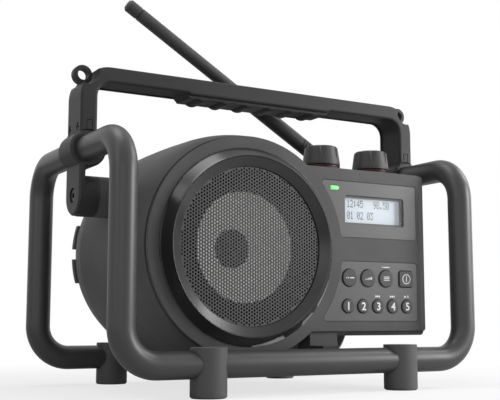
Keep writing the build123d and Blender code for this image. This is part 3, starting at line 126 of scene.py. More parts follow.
# what all finishes share: a span is the noise levels, or the turn of the normal, that a step runs over
common = {
    "patchSpan": (0.3, 0.7), "grainSpan": (0.35, 0.75), "grainShare": 0.35, "grainTone": 0.8,
    "bevelSamples": 4, "rubbedTurn": (0.01, 0.2), "rubbedSize": 6 * mm, "rubbedSpan": (0.35, 0.65),
    "rubbedTone": 1.9, "brightest": 230,
}


def surface(name, tone=80, tint=(1, 1, 1), patch=0.10, patchSize=45, grainSize=0.5, grainDepth=0.012,
            rough=0.5, dull=0.12, metal=0.0, shine=0.5, wear=0.0, edge=0.6, soft=0.0,
            pattern=None, second=None, relief=0.0, glow=0.0):
    # tone is a screen level and sizes are in millimetres; patch, dull and wear say how much each changes
    # slow patches change the tone, a fine grain bumps and dulls it, and edges are rounded and rubbed paler
    # pattern gives a mask from the place: second is the colour it changes to, relief how far it stands up
    finish = bpy.data.materials.new(name)
    start = emptyTree(finish)
    place = start.node("ShaderNodeTexCoord", out="Object")
    patches = place.noise(patchSize * mm, 3.0)
    grain = place.noise(grainSize * mm, 3.0, Roughness=0.6)
    rounded = start.node("ShaderNodeBevel", {"samples": common["bevelSamples"]}, {"Radius": edge * mm})
    darker, lighter = grey(tone * (1 - patch / 2), tint), grey(tone * (1 + patch / 2), tint)
    colour = patches.step(*common["patchSpan"]).mix(darker, lighter)
    grains = grain.step(*common["grainSpan"]) * common["grainShare"]
    colour = grains.mix(colour, grey(tone * common["grainTone"], tint))
    height = grain * grainDepth * mm
    if pattern:
        mask = pattern(place)
        if second is not None:
            colour = mask.mix(colour, second)
        height = height + mask * relief * mm
    if wear:
        turn = 1 - rounded.dot(start.node("ShaderNodeNewGeometry", out="Normal"))
        worn = place.noise(common["rubbedSize"], 4.0).step(*common["rubbedSpan"])
        rubbed = turn.step(*common["rubbedTurn"]) * worn
        paler = grey(min(tone * common["rubbedTone"], common["brightest"]), tint)
        colour = (rubbed * wear).mix(colour, paler)
    bump = start.node("ShaderNodeBump", {}, {
        "Strength": 1.0, "Distance": 1.0, "Height": height, "Normal": rounded})
    # patches and grain both swing about their middle, the grain by half as much
    roughness = (patches - 0.5) * dull + grain * dull * 0.5 + (rough - dull * 0.25)
    sockets = {"Base Color": colour, "Roughness": roughness, "Metallic": metal, "Specular IOR Level": shine,
               "Sheen Weight": soft, "Normal": bump}
    if glow:
        sockets["Emission Color"] = colour
        sockets["Emission Strength"] = glow
    shader = start.node("ShaderNodeBsdfPrincipled", {}, sockets)
    start.node("ShaderNodeOutputMaterial", {}, {"Surface": shader})
    return finish


def windings(pitch):
    # rings across the Y axis, one every pitch: half of one plus the sine of the place along Y
    return lambda place: (place.axis("Y") * (2 * math.pi / (pitch * mm))).maths("SINE") * 0.5 + 0.5


def fibres(place):
    # long thin streaks: noise that is squeezed across X and Z and stretched along Y
    squeezed = place.node("ShaderNodeMapping", {"vector_type": "POINT"},
                          {"Vector": place, "Scale": (1.0, 0.2, 2.2)})
    return squeezed.noise(1.6 * mm, 5.0).step(0.4, 0.62)


def traces(place):
    # copper tracks of a circuit board: the borders between square cells, broken by larger patches
    cells = place.node("ShaderNodeTexVoronoi", {"feature": "DISTANCE_TO_EDGE", "distance": "EUCLIDEAN"},
                       {"Vector": place, "Scale": 1 / (5 * mm), "Randomness": 0.35}, "Distance")
    return (1 - cells.step(0.03, 0.08)) * place.noise(12 * mm).step(0.4, 0.5)


screenLight = {"middle": 85 * mm, "half": 31 * mm, "fall": 0.6}


def backlight(place):
    # the display's light, weaker towards its ends: the fall times the square of the way out to an end
    out = (place.axis("X") - screenLight["middle"]) * (1 / screenLight["half"])
    return (out * out) * screenLight["fall"]


# the speaker's axis, and the spans over which the painted shade of the well fades out
wellShade = {"x": -46.5 * mm, "z": 122.2 * mm, "radius": (68.5 * mm, 69.5 * mm), "back": (-62 * mm, -60 * mm)}


def speakerWell(place):
    # painted shade in the well behind the grille: the housing is darkened within its radius of the speaker's
    # axis, and in front of its back
    away = place.node("ShaderNodeVectorMath", {"operation": "MULTIPLY_ADD"},
                      {0: place, 1: (1, 0, 1), 2: (-wellShade["x"], 0, -wellShade["z"])})
    return (1 - away.length().step(*wellShade["radius"])) * (1 - place.axis("Y").step(*wellShade["back"]))


def clearLens():
    # a nearly clear window with a gloss front and faint smears
    finish = bpy.data.materials.new("clearLens")
    start = emptyTree(finish)
    smears = start.node("ShaderNodeTexCoord", out="Object").noise(14 * mm, 4.0)
    shader = start.node("ShaderNodeBsdfPrincipled", {}, {
        "Base Color": (0.9, 0.93, 0.95, 1), "Roughness": smears * 0.08 + 0.03,
        "Alpha": smears * 0.04 + 0.06, "Specular IOR Level": 0.5})
    start.node("ShaderNodeOutputMaterial", {}, {"Surface": shader})
    return finish


tints = {
    "red": (3.2, 0.35, 0.3), "green": (0.35, 1.9, 0.7), "copper": (1.5, 0.75, 0.45), "blue": (0.6, 0.9, 1.6),
    "paper": (1, 1, 0.97), "screen": (0.88, 0.98, 1.08), "screenEnd": (0.85, 0.98, 1.12),
    "lamp": (0.45, 1.9, 0.5), "ink": (0.9, 1.0, 1.2),
}
# every finish by name: where it differs from what surface takes by itself
looks = {
    "tubePaint": dict(tone=60, patch=0.06, grainDepth=0.004, rough=0.4, shine=0.42, wear=0.1),
    "footRubber": dict(tone=78, grainSize=0.6, grainDepth=0.03, rough=0.6, shine=0.3, wear=0.2, soft=0.05),
    "zincScrew": dict(tone=175, grainSize=0.3, grainDepth=0.004, rough=0.3, dull=0.2, metal=1.0),
    "structurePlastic": dict(tone=52, grainSize=0.45, grainDepth=0.022, shine=0.18, wear=0.3),
    "gripRubber": dict(tone=40, grainSize=0.8, grainDepth=0.035, rough=0.6, shine=0.25, wear=0.1, soft=0.05),
    # black screws, darker still so that the hanger hole reads as deep: partly the screws' own black, partly
    # painted shade
    "blackScrewAndShade": dict(tone=12, grainSize=0.3, grainDepth=0.004, rough=0.36, metal=0.2, shine=0.2, wear=0.5),
    "bushPlastic": dict(tone=50, grainDepth=0.01),
    # the housing is painted near black in the speaker's well behind the grille: painted shade
    "housingPlastic": dict(tone=86, grainSize=0.9, grainDepth=0.06, shine=0.14, wear=0.15,
                           pattern=speakerWell, second=grey(10)),
    "labelFilm": dict(tone=91, patch=0.05, grainSize=0.3, grainDepth=0.005, rough=0.4, dull=0.06, shine=0.3),
    "glossBlack": dict(tone=34, patch=0.2, grainSize=0.4, grainDepth=0.0006, rough=0.24, dull=0.06,
                       shine=0.45, edge=0.3),
    # pale, in patches: a painted reflection of the studio on the ring round the bezel
    "bezelLipPaintedReflection": dict(tone=130, patch=0.2, patchSize=12, grainSize=0.4, grainDepth=0.004, rough=0.3),
    "grilleSteel": dict(tone=74, patch=0.05, grainSize=0.25, grainDepth=0.004, rough=0.45, shine=0.3,
                        edge=0.15),
    "basketSteel": dict(tone=26, grainSize=0.4, grainDepth=0.01, rough=0.38, metal=0.3, shine=0.1),
    "ferrite": dict(tone=44, grainDepth=0.03, rough=0.6, metal=0.3),
    "suspension": dict(tone=14, grainDepth=0.01, rough=0.7, shine=0.05),
    # the cone paper also glows a little, though it is no lamp: painted light
    "conePaper": dict(tone=240, tint=tints["paper"], grainSize=0.7, grainDepth=0.05, rough=0.8, soft=0.2,
                      pattern=fibres, second=grey(205), relief=0.02, glow=0.4),
    "dustCap": dict(tone=30, grainDepth=0.02, rough=0.55, shine=0.2),
    "copperCoil": dict(tone=150, tint=tints["copper"], rough=0.3, metal=1.0,
                       pattern=windings(0.3), second=grey(90, tints["copper"]), relief=0.05),
    "shaftSteel": dict(tone=185, grainSize=0.3, grainDepth=0.003, rough=0.28, dull=0.15, metal=1.0),
    "redPlastic": dict(tone=44, tint=tints["red"], grainSize=0.4, grainDepth=0.006, rough=0.35, shine=0.2),
    "keyPlastic": dict(tone=72, grainSize=0.35, grainDepth=0.02, shine=0.25, wear=0.2, edge=0.4),
    "knobPlastic": dict(tone=66, grainSize=0.4, grainDepth=0.02, rough=0.48, shine=0.3, wear=0.25),
    "whipPlastic": dict(tone=60, patch=0.05, grainSize=0.45, shine=0.3, wear=0.1),
    "boardLacquer": dict(tone=70, tint=tints["green"], rough=0.35,
                         pattern=traces, second=grey(150, tints["copper"]), relief=0.03),
    "cellWrap": dict(tone=90, tint=tints["blue"], grainSize=0.4, grainDepth=0.003, rough=0.3),
    "displayGlow": dict(tone=205, tint=tints["screen"], patch=0.03, grainDepth=0.002, rough=0.35,
                        pattern=backlight, second=grey(185, tints["screenEnd"]), glow=0.28),
    "lampGlow": dict(tone=150, tint=tints["lamp"], patch=0.05, grainDepth=0.002, rough=0.3, glow=0.9),
    "markWhite": dict(tone=238, patch=0.03, grainSize=0.3, grainDepth=0.004, edge=0.1),
    "dotInk": dict(tone=60, tint=tints["ink"], patch=0.05, grainDepth=0.001, edge=0.1),
}
finishes = {name: surface(name, **look) for name, look in looks.items()}
finishes["clearLens"] = clearLens()

# the nodes that each finish is put on
wears = {
    "tubePaint": ["tube_frame"],
    "footRubber": ["foot_front_left", "foot_front_right", "foot_rear_left", "foot_rear_right", "cord_gland"],
    "zincScrew": ["foot_screws"],
    "structurePlastic": ["handle", "clamp_left", "clamp_right", "antenna_base", "door_latch"],
    "knobPlastic": ["volume_knob", "tuning_knob"],
    "gripRubber": ["handle_grip", "rail_pads"],
    "blackScrewAndShade": ["handle_screws", "hanger_bolts", "shell_screws", "speaker_screws"],
    "bushPlastic": ["hanger_bushes", "battery_tray", "socket_plate"],
    "housingPlastic": ["fascia", "front_shell", "rear_shell", "battery_door"],
    "labelFilm": ["display_plate", "key_plate"],
    "glossBlack": ["speaker_bezel"],
    "grilleSteel": ["speaker_grille"],
    "basketSteel": ["speaker_basket"],
    "ferrite": ["speaker_magnet"],
    "suspension": ["speaker_suspension"],
    "conePaper": ["speaker_cone"],
    "dustCap": ["dust_cap"],
    "copperCoil": ["voice_coil"],
    "shaftSteel": ["tuning_shaft", "volume_shaft", "encoders", "antenna_pin", "door_pin",
                   "battery_contacts"],
    "redPlastic": ["knob_rings"],
    "keyPlastic": ["source_button", "loudness_button", "info_button", "power_button",
                   *[f"preset_{number}" for number in range(1, 6)]],
    "whipPlastic": ["antenna_whip"],
    "boardLacquer": ["main_board", "key_board"],
    "cellWrap": ["batteries"],
    "displayGlow": ["display_module"],
    "lampGlow": ["status_lamp"],
    "clearLens": ["display_lens"],
}
for finish, members in wears.items():
    for member in members:
        nodes[member].data.materials.clear()
        nodes[member].data.materials.append(finishes[finish])
bare = sorted(set(nodes) - {member for members in wears.values() for member in members})
print("finishes on", len(nodes) - len(bare), "nodes, none on", bare)


def addPiece(name, points, faces, finish, body, replaces=(), sharp=None):
    # a mesh in one finish that rides on a body; where sharp is given, edges under that angle are smooth
    mesh = bpy.data.meshes.new(name)
    mesh.from_pydata(np.asarray(points).tolist(), [], faces)
    mesh.update()
    if sharp:
        mesh.shade_smooth()
        mesh.set_sharp_from_angle(angle=math.radians(sharp))
    mesh.materials.append(finishes[finish])
    piece = bpy.data.objects.new(name, mesh)
    bpy.context.scene.collection.objects.link(piece)
    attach(piece, body)
    if replaces:
        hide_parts(*replaces)
    print("made", name, len(mesh.polygons), "faces")
    return piece


def gridFaces(rows, columns):
    # quads of a grid that closes on itself both ways; they face along column step x row step
    row, column = np.meshgrid(np.arange(rows), np.arange(columns), indexing="ij")
    nextRow, nextColumn = (row + 1) % rows, (column + 1) % columns
    corners = [row * columns + column, row * columns + nextColumn,
               nextRow * columns + nextColumn, nextRow * columns + column]
    return np.stack(corners, -1).reshape(-1, 4)


def turned(profile, centre, turns=240, cut=None):
    # a profile of (radius, y) points carried round the Y axis through centre:
    # x = centre x + radius cos angle, z = centre z + radius sin angle
    # cut(angle) is the largest radius allowed at each angle
    profile = np.asarray(profile, float)
    angle = np.linspace(0, 2 * np.pi, turns, endpoint=False)
    radius = np.repeat(profile[:, :1], turns, 1)
    if cut is not None:
        radius = np.minimum(radius, cut(angle)[None, :])
    points = np.stack([centre[0] + radius * np.cos(angle), np.repeat(profile[:, 1:], turns, 1),
                       centre[1] + radius * np.sin(angle)], -1)
    return points.reshape(-1, 3), gridFaces(len(profile), turns).tolist()


def bend(first, middle, last, count):
    # a smooth bend through three points: the parabola that takes them at 0, one half and 1
    share = np.linspace(0, 1, count)[:, None]
    first, middle, last = (np.asarray(point, float) for point in (first, middle, last))
    return (first * (1 - share) * (1 - 2 * share) + middle * 4 * share * (1 - share)
            + last * share * (2 * share - 1))


def prisms(outlines, front, thickness):
    # each outline, counterclockwise as (x, z), carried from y = front backwards by the thickness
    points, faces, first = [], [], 0
    for outline in outlines:
        flat = np.asarray(outline, float)
        count = len(flat)
        face = np.column_stack([flat[:, 0], np.full(count, front), flat[:, 1]])
        ring = first + np.arange(count)
        after = first + (np.arange(count) + 1) % count
        points += [face, face + (0, thickness, 0)]
        faces += [ring.tolist(), (ring[::-1] + count).tolist()]
        faces += np.column_stack([ring, ring + count, after + count, after]).tolist()
        first += 2 * count
    return np.concatenate(points), faces


def bar(left, right, low, high):
    # the four corners of an upright rectangle, counterclockwise
    return [(left, low), (right, low), (right, high), (left, high)]


bezelLow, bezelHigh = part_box("speaker_bezel")
grilleLow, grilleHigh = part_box("speaker_grille")
speakerAxis = ((bezelLow.x + bezelHigh.x) / 2, (bezelLow.z + bezelHigh.z) / 2)
# crest, mouth and tail are out from the grille's radius, ledge in from it, and skirtIn in from outer
bezel = {
    "outer": (bezelHigh.x - bezelLow.x) / 2, "crest": 9.0 * mm, "crestRound": 0.7 * mm,
    "mouth": 0.3 * mm, "mouthRise": 1.2 * mm, "ledge": 1.5 * mm, "seatGap": 0.1 * mm,
    "tail": 4.8 * mm, "tailDepth": 1.9 * mm, "skirtDrop": 0.8 * mm, "skirtIn": 0.3 * mm,
    # grip notches in the lower right of the skirt: from and to in degrees, depth in mm at each end
    "notches": [(-37.5, -19.0, 3.8, 1.8), (-53.0, -41.5, 4.4, 4.0), (-90.0, -66.0, 1.2, 5.0)],
    "notchEdge": 1.2, "flankSteps": 8, "crestSteps": 7, "slopeSteps": 6, "turns": 720, "sharp": 24,
}
# outer and inner are in from the bezel's outer radius
lip = {"outer": 0.3 * mm, "inner": 5.6 * mm, "rise": 0.9 * mm, "turns": 240, "sharp": 32}
grille = {
    "radius": (grilleHigh.x - grilleLow.x) / 2, "front": grilleLow.y, "back": grilleHigh.y,
    "columnPitch": 2.5 * mm, "rowPitch": 2.9 * mm, "holeRadius": 0.95 * mm, "rim": 0.35 * mm, "corners": 12,
}
bezelFoot = bezelHigh.y - bezel["tailDepth"]


def notchedRadius(angle):
    # the skirt's radius less the notch that covers this angle, with a short slope at each of its ends
    degrees = (np.degrees(angle) + 180) % 360 - 180
    slope = bezel["notchEdge"]
    depth = np.zeros_like(angle)
    for low, high, lowDepth, highDepth in bezel["notches"]:
        inside = np.clip((degrees - low) / slope, 0, 1) * np.clip((high - degrees) / slope, 0, 1)
        share = np.clip((degrees - low) / (high - low), 0, 1)
        depth += inside * (lowDepth + (highDepth - lowDepth) * share) * mm
    return bezel["outer"] - depth


def makeBezel():
    # a straight flank up to a small round crest, a straight slope down to the grille, and a square tail
    # that holds the grille's rim, all turned round the speaker's axis
    outer, inner, front, small = bezel["outer"], grille["radius"], bezelLow.y, bezel["crestRound"]
    crest, mouth = inner + bezel["crest"], inner + bezel["mouth"]
    ledge, tail = inner - bezel["ledge"], inner + bezel["tail"]
    seat = grille["back"] + bezel["seatGap"]
    skirt = (outer - bezel["skirtIn"], bezelFoot - bezel["skirtDrop"])
    flank, brow = (crest + small, front + small), (crest - small, front + small)
    profile = np.concatenate([
        [(outer, bezelFoot)], np.linspace(skirt, flank, bezel["flankSteps"])[:-1],
        bend(flank, (crest, front), brow, bezel["crestSteps"])[:-1],
        np.linspace(brow, (mouth, grille["front"] - bezel["mouthRise"]), bezel["slopeSteps"]),
        [(mouth, seat), (ledge, seat), (ledge, bezelHigh.y), (tail, bezelHigh.y), (tail, bezelFoot)],
    ])
    points, faces = turned(profile, speakerAxis, bezel["turns"], notchedRadius)
    addPiece("bezelRing", points, faces, "glossBlack", "root", ["speaker_bezel"],
             bezel["sharp"])


def makeLip():
    # a low flat ring on the foot of the bezel: a rectangle turned round the speaker's axis; its pale patchy
    # tone is a painted reflection
    inner, outer = bezel["outer"] - lip["inner"], bezel["outer"] - lip["outer"]
    front = bezelFoot - lip["rise"]
    profile = [(outer, bezelFoot), (outer, front), (inner, front), (inner, bezelFoot)]
    points, faces = turned(profile, speakerAxis, lip["turns"])
    addPiece("bezelLipPaintedReflection", points, faces, "bezelLipPaintedReflection", "root", (), lip["sharp"])


def grilleCells():
    # centres and corners of the six-sided cells that cover the plate: columns stand a pitch apart, every
    # other one is raised by half a row, and a corner past the rim is drawn in to it
    across, up, radius = grille["columnPitch"], grille["rowPitch"], grille["radius"]
    reach = int(radius / across) + 2
    steps = np.arange(-reach, reach + 1)
    column, row = np.meshgrid(steps, steps, indexing="ij")
    centres = np.stack([column * across, (row + 0.5 * (column % 2)) * up], -1).reshape(-1, 2)
    half = up / 2
    tip = (across ** 2 + half ** 2) / (2 * across)
    side = across - tip
    cell = np.array([(tip, 0), (side, half), (-side, half), (-tip, 0), (-side, -half), (side, -half)])
    hexes = centres[:, None, :] + cell[None]
    far = np.hypot(hexes[..., 0], hexes[..., 1])
    used = (far < radius - 1e-6).any(1)
    return centres[used], hexes[used] * np.minimum(1, radius / far[used])[..., None]


def makeGrille():
    # a flat plate of cells, each with a round hole where that stays clear of the rim: a side of the cell
    # and two edges of the hole make one face
    centres, hexes = grilleCells()
    corners, hole = grille["corners"], grille["holeRadius"]
    turn = np.arange(corners) * 2 * np.pi / corners
    holed = np.hypot(*centres.T) < grille["radius"] - hole - grille["rim"]
    holes = centres[holed][:, None, :] + hole * np.stack([np.cos(turn), np.sin(turn)], -1)[None]
    flat, index = np.unique(np.round(hexes.reshape(-1, 2), 8), axis=0, return_inverse=True)
    index = index.reshape(-1, 6)
    cells, plain = index[holed], index[~holed]
    rims = len(flat) + np.arange(len(cells) * corners).reshape(-1, corners)
    flat = np.concatenate([flat, holes.reshape(-1, 2)])
    count = len(flat)
    side = np.arange(6)
    fans = np.stack([cells[:, side], cells[:, (side + 1) % 6], rims[:, (2 * side + 2) % corners],
                     rims[:, 2 * side + 1], rims[:, 2 * side]], -1).reshape(-1, 5)
    nextRims = np.roll(rims, -1, 1)
    walls = np.stack([rims, nextRims, nextRims + count, rims + count], -1).reshape(-1, 4)
    # a cell's edge that no other cell runs back along lies on the rim
    edges = np.stack([index, np.roll(index, -1, 1)], -1).reshape(-1, 2)
    forth, back = edges[:, 0] * count + edges[:, 1], edges[:, 1] * count + edges[:, 0]
    outer = edges[~np.isin(forth, back)]
    rimWalls = np.stack([outer[:, 0], outer[:, 0] + count, outer[:, 1] + count, outer[:, 1]], -1)
    faces = [*fans.tolist(), *plain.tolist(), *(fans[:, ::-1] + count).tolist(),
             *(plain[:, ::-1] + count).tolist(), *walls.tolist(), *rimWalls.tolist()]
    points = np.concatenate([
        np.column_stack([speakerAxis[0] + flat[:, 0], np.full(count, y), speakerAxis[1] + flat[:, 1]])
        for y in (grille["front"], grille["back"])])
    addPiece("grillePlate", points, faces, "grilleSteel", "root", ["speaker_grille"])
    print("grille holes", len(cells))


makeBezel()
makeLip()
makeGrille()

# numberBold and numberExtrude are in the font's own units, and arrowHalf is in millimetres
marks = {
    "raise": 0.12 * mm, "sink": 0.1 * mm, "printRaise": 0.06 * mm, "arrowHalf": 1.15,
    "numberHeight": 7.2 * mm, "numberBold": 0.02, "numberExtrude": 0.02, "numberSteps": 6,
}
powerRing = {"outer": 4.6 * mm, "inner": 3.9 * mm, "turns": 48}
lampMarks = {
    "bolt": [(-1.9, -0.2), (0.1, 0.3), (-0.3, -1.0), (2.1, 0.35), (0.1, 0.0), (0.5, 1.2)],
    "boltSize": 0.8 * mm, "boltRaise": 0.05 * mm, "tip": bar(3.8, 4.9, -1.0, 1.0), "tipSink": 0.6 * mm,
}


def middle(node):
    # the middle of a node's box as x and z, and its front as y
    low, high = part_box(node)
    return (low.x + high.x) / 2, (low.z + high.z) / 2, low.y


def addNumber(name, text, node, body):
    # the built-in letter shapes, scaled to their height and centred on the key; their front goes to raise
    # before the key's face, and their back to sink behind it
    x, z, front = middle(node)
    curve = bpy.data.curves.new(name, "FONT")
    curve.body, curve.offset = text, marks["numberBold"]
    curve.extrude, curve.resolution_u = marks["numberExtrude"], marks["numberSteps"]
    shape = bpy.data.objects.new(name, curve)
    bpy.context.scene.collection.objects.link(shape)
    mesh = bpy.data.meshes.new_from_object(shape.evaluated_get(bpy.context.evaluated_depsgraph_get()))
    points = np.empty(len(mesh.vertices) * 3)
    mesh.vertices.foreach_get("co", points)
    points = points.reshape(-1, 3)
    faces = [list(face.vertices) for face in mesh.polygons]
    bpy.data.objects.remove(shape)
    bpy.data.meshes.remove(mesh)
    low, high = points.min(0), points.max(0)
    scale = marks["numberHeight"] / (high[1] - low[1])
    flat = (points - (low + high) / 2) * scale
    depth = np.where(flat[:, 2] > 0, front - marks["raise"], front + marks["sink"])
    points = np.column_stack([x + flat[:, 0], depth, z + flat[:, 1]])
    addPiece(name, points, faces, "markWhite", body)


def addMarks(name, outlines, node, body, raised, sink=marks["sink"]):
    # flat shapes on the middle of a node's front, that stand out of it by raised and reach into it by sink
    x, z, front = middle(node)
    points, faces = prisms(outlines, front - raised, raised + sink)
    addPiece(name, points + (x, 0, z), faces, "markWhite", body)


def scaled(outlines, size=mm):
    # outlines drawn in millimetres, or in units of size
    return [np.asarray(outline, float) * size for outline in outlines]


def disc(x, radius=0.55, corners=12):
    # a small many-sided disc whose middle is at x
    turn = np.arange(corners) * 2 * np.pi / corners
    return np.stack([x + radius * np.cos(turn), radius * np.sin(turn)], -1)


def arrow(left, reach):
    # a triangle from its upright edge at left to its point, to the right if reach is positive
    half = marks["arrowHalf"]
    corners = [(left, -half), (left + reach, 0), (left, half)]
    return corners if reach > 0 else corners[::-1]


def post(left, right):
    # an upright bar as tall as an arrow
    return bar(left, right, -marks["arrowHalf"], marks["arrowHalf"])


# raised on the keys, in millimetres from the middle of each
keySymbols = {
    "source": [disc(-3.6), disc(-1.8), bar(0, 4.4, -0.5, 0.5)],
    "loudness": [bar(-4 + 1.7 * step, -3 + 1.7 * step, -1.3, -0.9 + 0.5 * step) for step in range(5)],
    "info": [bar(-3.2, 3.2, level - 0.32, level + 0.32) for level in (-1.5, 0, 1.5)],
}
powerSymbol = [bar(-0.4, 0.4, -2.6, 2.6)]
# printed above the keys: the key, the shapes, and how far above its middle they stand, in millimetres
overKeys = {
    "skipBack": ("preset_3", [post(-2.9, -2.4), arrow(0, -2.2), arrow(2.4, -2.2)], 9.0),
    "skipOn": ("preset_4", [arrow(-2.4, 2.2), arrow(0, 2.2), post(2.4, 2.9)], 9.0),
    "playPause": ("preset_5", [arrow(-2.6, 2.3), post(0.5, 1.1), post(1.7, 2.3)], 9.0),
    "holdMark": ("info_button", [bar(-4.4, -3.6, -0.4, 0.4), bar(-2.6, 4.4, -0.35, 0.35)], 10.4),
}


def makePowerRing():
    # a flat ring on the power key: a rectangle turned round the middle of the key
    x, z, front = middle("power_button")
    outer, inner = powerRing["outer"], powerRing["inner"]
    out, sunk = front - marks["raise"], front + marks["sink"]
    profile = [(outer, sunk), (outer, out), (inner, out), (inner, sunk)]
    points, faces = turned(profile, (x, z), powerRing["turns"])
    addPiece("powerRing", points, faces, "markWhite", "power_key")


def makeKeyMarks():
    # a number on each preset key and a symbol on each other one, so that they go in with their key
    for number in range(1, 6):
        addNumber(f"presetNumber{number}", str(number), f"preset_{number}", f"preset_{number}_key")
    for key, outlines in keySymbols.items():
        addMarks(f"{key}Symbol", scaled(outlines), f"{key}_button", f"{key}_key", marks["raise"])
    makePowerRing()
    addMarks("powerBar", scaled(powerSymbol), "power_button", "power_key", marks["raise"])


def makePrint():
    # flat shapes printed on the key plate, above the middle of their keys
    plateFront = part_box("key_plate")[0].y
    front, thickness = plateFront - marks["printRaise"], marks["printRaise"] + marks["sink"]
    for name, (node, outlines, above) in overKeys.items():
        x, z = middle(node)[:2]
        points, faces = prisms(scaled(outlines), front, thickness)
        addPiece(name, points + (x, 0, z + above * mm), faces, "markWhite", "root")


def makeLampMarks():
    # a bolt on the lamp, and a bar beside it that reaches back to the plate
    bolt, tip = scaled([lampMarks["bolt"]], lampMarks["boltSize"]), scaled([lampMarks["tip"]])
    addMarks("lampBolt", bolt, "status_lamp", "root", lampMarks["boltRaise"])
    addMarks("lampTip", tip, "status_lamp", "root", 0.0, lampMarks["tipSink"])


makeKeyMarks()
makePrint()
makeLampMarks()

display = {"rows": ["12:45   98.50", "01 02 03"], "dotX": 0.66 * mm, "dotZ": 0.98 * mm, "gap": 0.03 * mm,
           "pitch": 3.72 * mm, "left": 58.2 * mm, "tops": [169.2 * mm, 158.6 * mm], "raise": 0.04 * mm}
# five by seven dots: each number is a row of dots, from the top, in binary
dotShapes = {
    "0": (14, 17, 19, 21, 25, 17, 14), "1": (4, 12, 4, 4, 4, 4, 14), "2": (14, 17, 1, 2, 4, 8, 31),
    "3": (31, 2, 4, 2, 1, 17, 14), "4": (2, 6, 10, 18, 31, 2, 2), "5": (31, 16, 30, 1, 1, 17, 14),
    "8": (14, 17, 17, 14, 17, 17, 14), "9": (14, 17, 17, 15, 1, 2, 12),
    ":": (0, 12, 12, 0, 12, 12, 0), ".": (0, 0, 0, 0, 0, 12, 12), " ": (0, 0, 0, 0, 0, 0, 0),
}


def makeDisplayDots():
    # one flat box for each lit dot; its place follows from its letter, its row and its bit
    lows = []
    for text, top in zip(display["rows"], display["tops"]):
        shapes = np.array([dotShapes[letter] for letter in text])
        lit = (shapes[:, :, None] >> np.arange(4, -1, -1)) & 1
        letter, row, dot = np.nonzero(lit)
        lows.append(np.column_stack([display["left"] + letter * display["pitch"] + dot * display["dotX"],
                                     top - (row + 1) * display["dotZ"]]))
    lows = np.concatenate(lows)
    wide, tall = display["dotX"] - display["gap"], display["dotZ"] - display["gap"]
    outlines = lows[:, None, :] + np.array(bar(0, wide, 0, tall))[None]
    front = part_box("display_module")[0].y
    points, faces = prisms(list(outlines), front - display["raise"], display["raise"] * 2)
    addPiece("displayDots", points, faces, "dotInk", "root")


makeDisplayDots()

stage = {"floorHalf": 12.0, "floorTone": 240, "floorWhite": 0.72, "fadeFrom": 0.2, "fadeTo": 0.6,
         "ambient": 0.12}
lamps = {
    # name: place, aim, width, height, watts
    "keySoftbox": ((1.0, -0.78, 0.4), (0.03, 0, 0.13), 0.5, 0.5, 12.0),
    "rightHigh": ((0.95, -0.25, 0.9), (0, 0, 0.13), 0.35, 0.5, 4.5),
    "leftStrip": ((-1.2, -0.38, 0.75), (-0.1, 0, 0.15), 0.16, 1.5, 3.0),
    "frontFill": ((-0.75, -1.1, 0.35), (0, 0, 0.13), 0.5, 0.5, 1.2),
    "rightStrip": ((1.2, 0.1, 0.35), (0.1, 0, 0.15), 0.3, 1.3, 2.6),
    "topSoftbox": ((-0.3, 0.1, 1.5), (0, 0, 0.12), 0.7, 0.7, 7.0),
}
cameraView = {"lens": 68.62, "sensor": 36.0, "clip": (0.02, 50.0), "place": (-0.44546, -0.77498, 0.05943),
              "right": (0.86675, -0.49875, 0.0), "forward": (0.49474, 0.85979, 0.12650)}


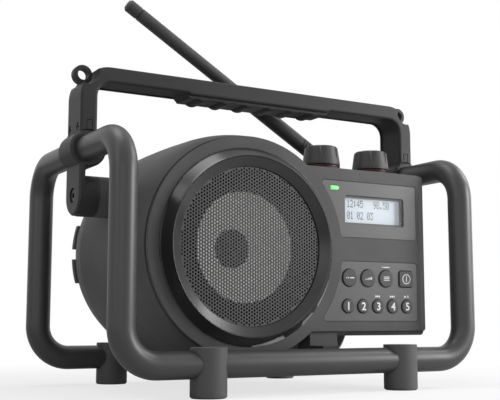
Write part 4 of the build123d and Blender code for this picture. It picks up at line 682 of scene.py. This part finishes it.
def makeFloor():
    # a flat square that is matt to the lamps, and to the camera mostly white, wholly so further out
    half = stage["floorHalf"]
    mesh = bpy.data.meshes.new("studioFloor")
    corners = [(x, y, 0) for x, y in bar(-half, half, -half, half)]
    mesh.from_pydata(corners, [], [(0, 1, 2, 3)])
    floor = bpy.data.objects.new("studioFloor", mesh)
    bpy.context.scene.collection.objects.link(floor)
    paint = bpy.data.materials.new("studioFloor")
    start = emptyTree(paint)
    seen = start.node("ShaderNodeLightPath", out="Is Camera Ray")
    matt = start.node("ShaderNodeBsdfDiffuse", {}, {"Color": grey(stage["floorTone"])})
    bright = start.node("ShaderNodeEmission", {}, {"Color": fullWhite, "Strength": 1.0})
    away = start.node("ShaderNodeTexCoord", out="Object").length()
    fade = away.step(stage["fadeFrom"], stage["fadeTo"]) * (1 - stage["floorWhite"]) + stage["floorWhite"]
    both = start.node("ShaderNodeMixShader", {}, {0: seen * fade, 1: matt, 2: bright})
    start.node("ShaderNodeOutputMaterial", {}, {"Surface": both})
    mesh.materials.append(paint)
    print("made studioFloor")


def makeWorld():
    # white to the camera, in reflections and through the lens, and a weak even light on everything else
    world = bpy.data.worlds.new("studio")
    bpy.context.scene.world = world
    start = emptyTree(world)
    camera, gloss, passed = (start.node("ShaderNodeLightPath", out=f"Is {kind} Ray")
                             for kind in ("Camera", "Glossy", "Transmission"))
    shown = camera.larger(gloss).larger(passed)
    strength = shown * (1 - stage["ambient"]) + stage["ambient"]
    sky = start.node("ShaderNodeBackground", {}, {"Color": fullWhite, "Strength": strength})
    start.node("ShaderNodeOutputWorld", {}, {"Surface": sky})
    print("made studio world")


def aimed(place, aim):
    # the turn that points an object's -Z from its place to its aim
    return Vector(np.subtract(aim, place)).to_track_quat("-Z", "Y").to_euler()


def makeLamps():
    # one flat rectangular lamp for each row of the table
    for name, (place, aim, width, height, watts) in lamps.items():
        light = bpy.data.lights.new(name, "AREA")
        light.shape, light.size, light.size_y, light.energy = "RECTANGLE", width, height, watts
        lamp = bpy.data.objects.new(name, light)
        lamp.location, lamp.rotation_euler = place, aimed(place, aim)
        bpy.context.scene.collection.objects.link(lamp)
    print("made", len(lamps), "lamps")


def makeCamera():
    # its matrix has right, up and the way back as columns; up is right x forward
    forward = Vector(cameraView["forward"]).normalized()
    right = Vector(cameraView["right"]).normalized()
    up = right.cross(forward)
    data = bpy.data.cameras.new("viewCamera")
    data.lens, data.sensor_width, data.sensor_fit = cameraView["lens"], cameraView["sensor"], "HORIZONTAL"
    data.clip_start, data.clip_end = cameraView["clip"]
    camera = bpy.data.objects.new("viewCamera", data)
    turn = Matrix((right, up, -forward)).transposed().to_4x4()
    camera.matrix_world = Matrix.Translation(cameraView["place"]) @ turn
    bpy.context.scene.collection.objects.link(camera)
    bpy.context.scene.camera = camera
    print("made viewCamera")


makeFloor()
makeWorld()
makeLamps()
makeCamera()
bpy.context.scene.view_settings.view_transform = "Standard"
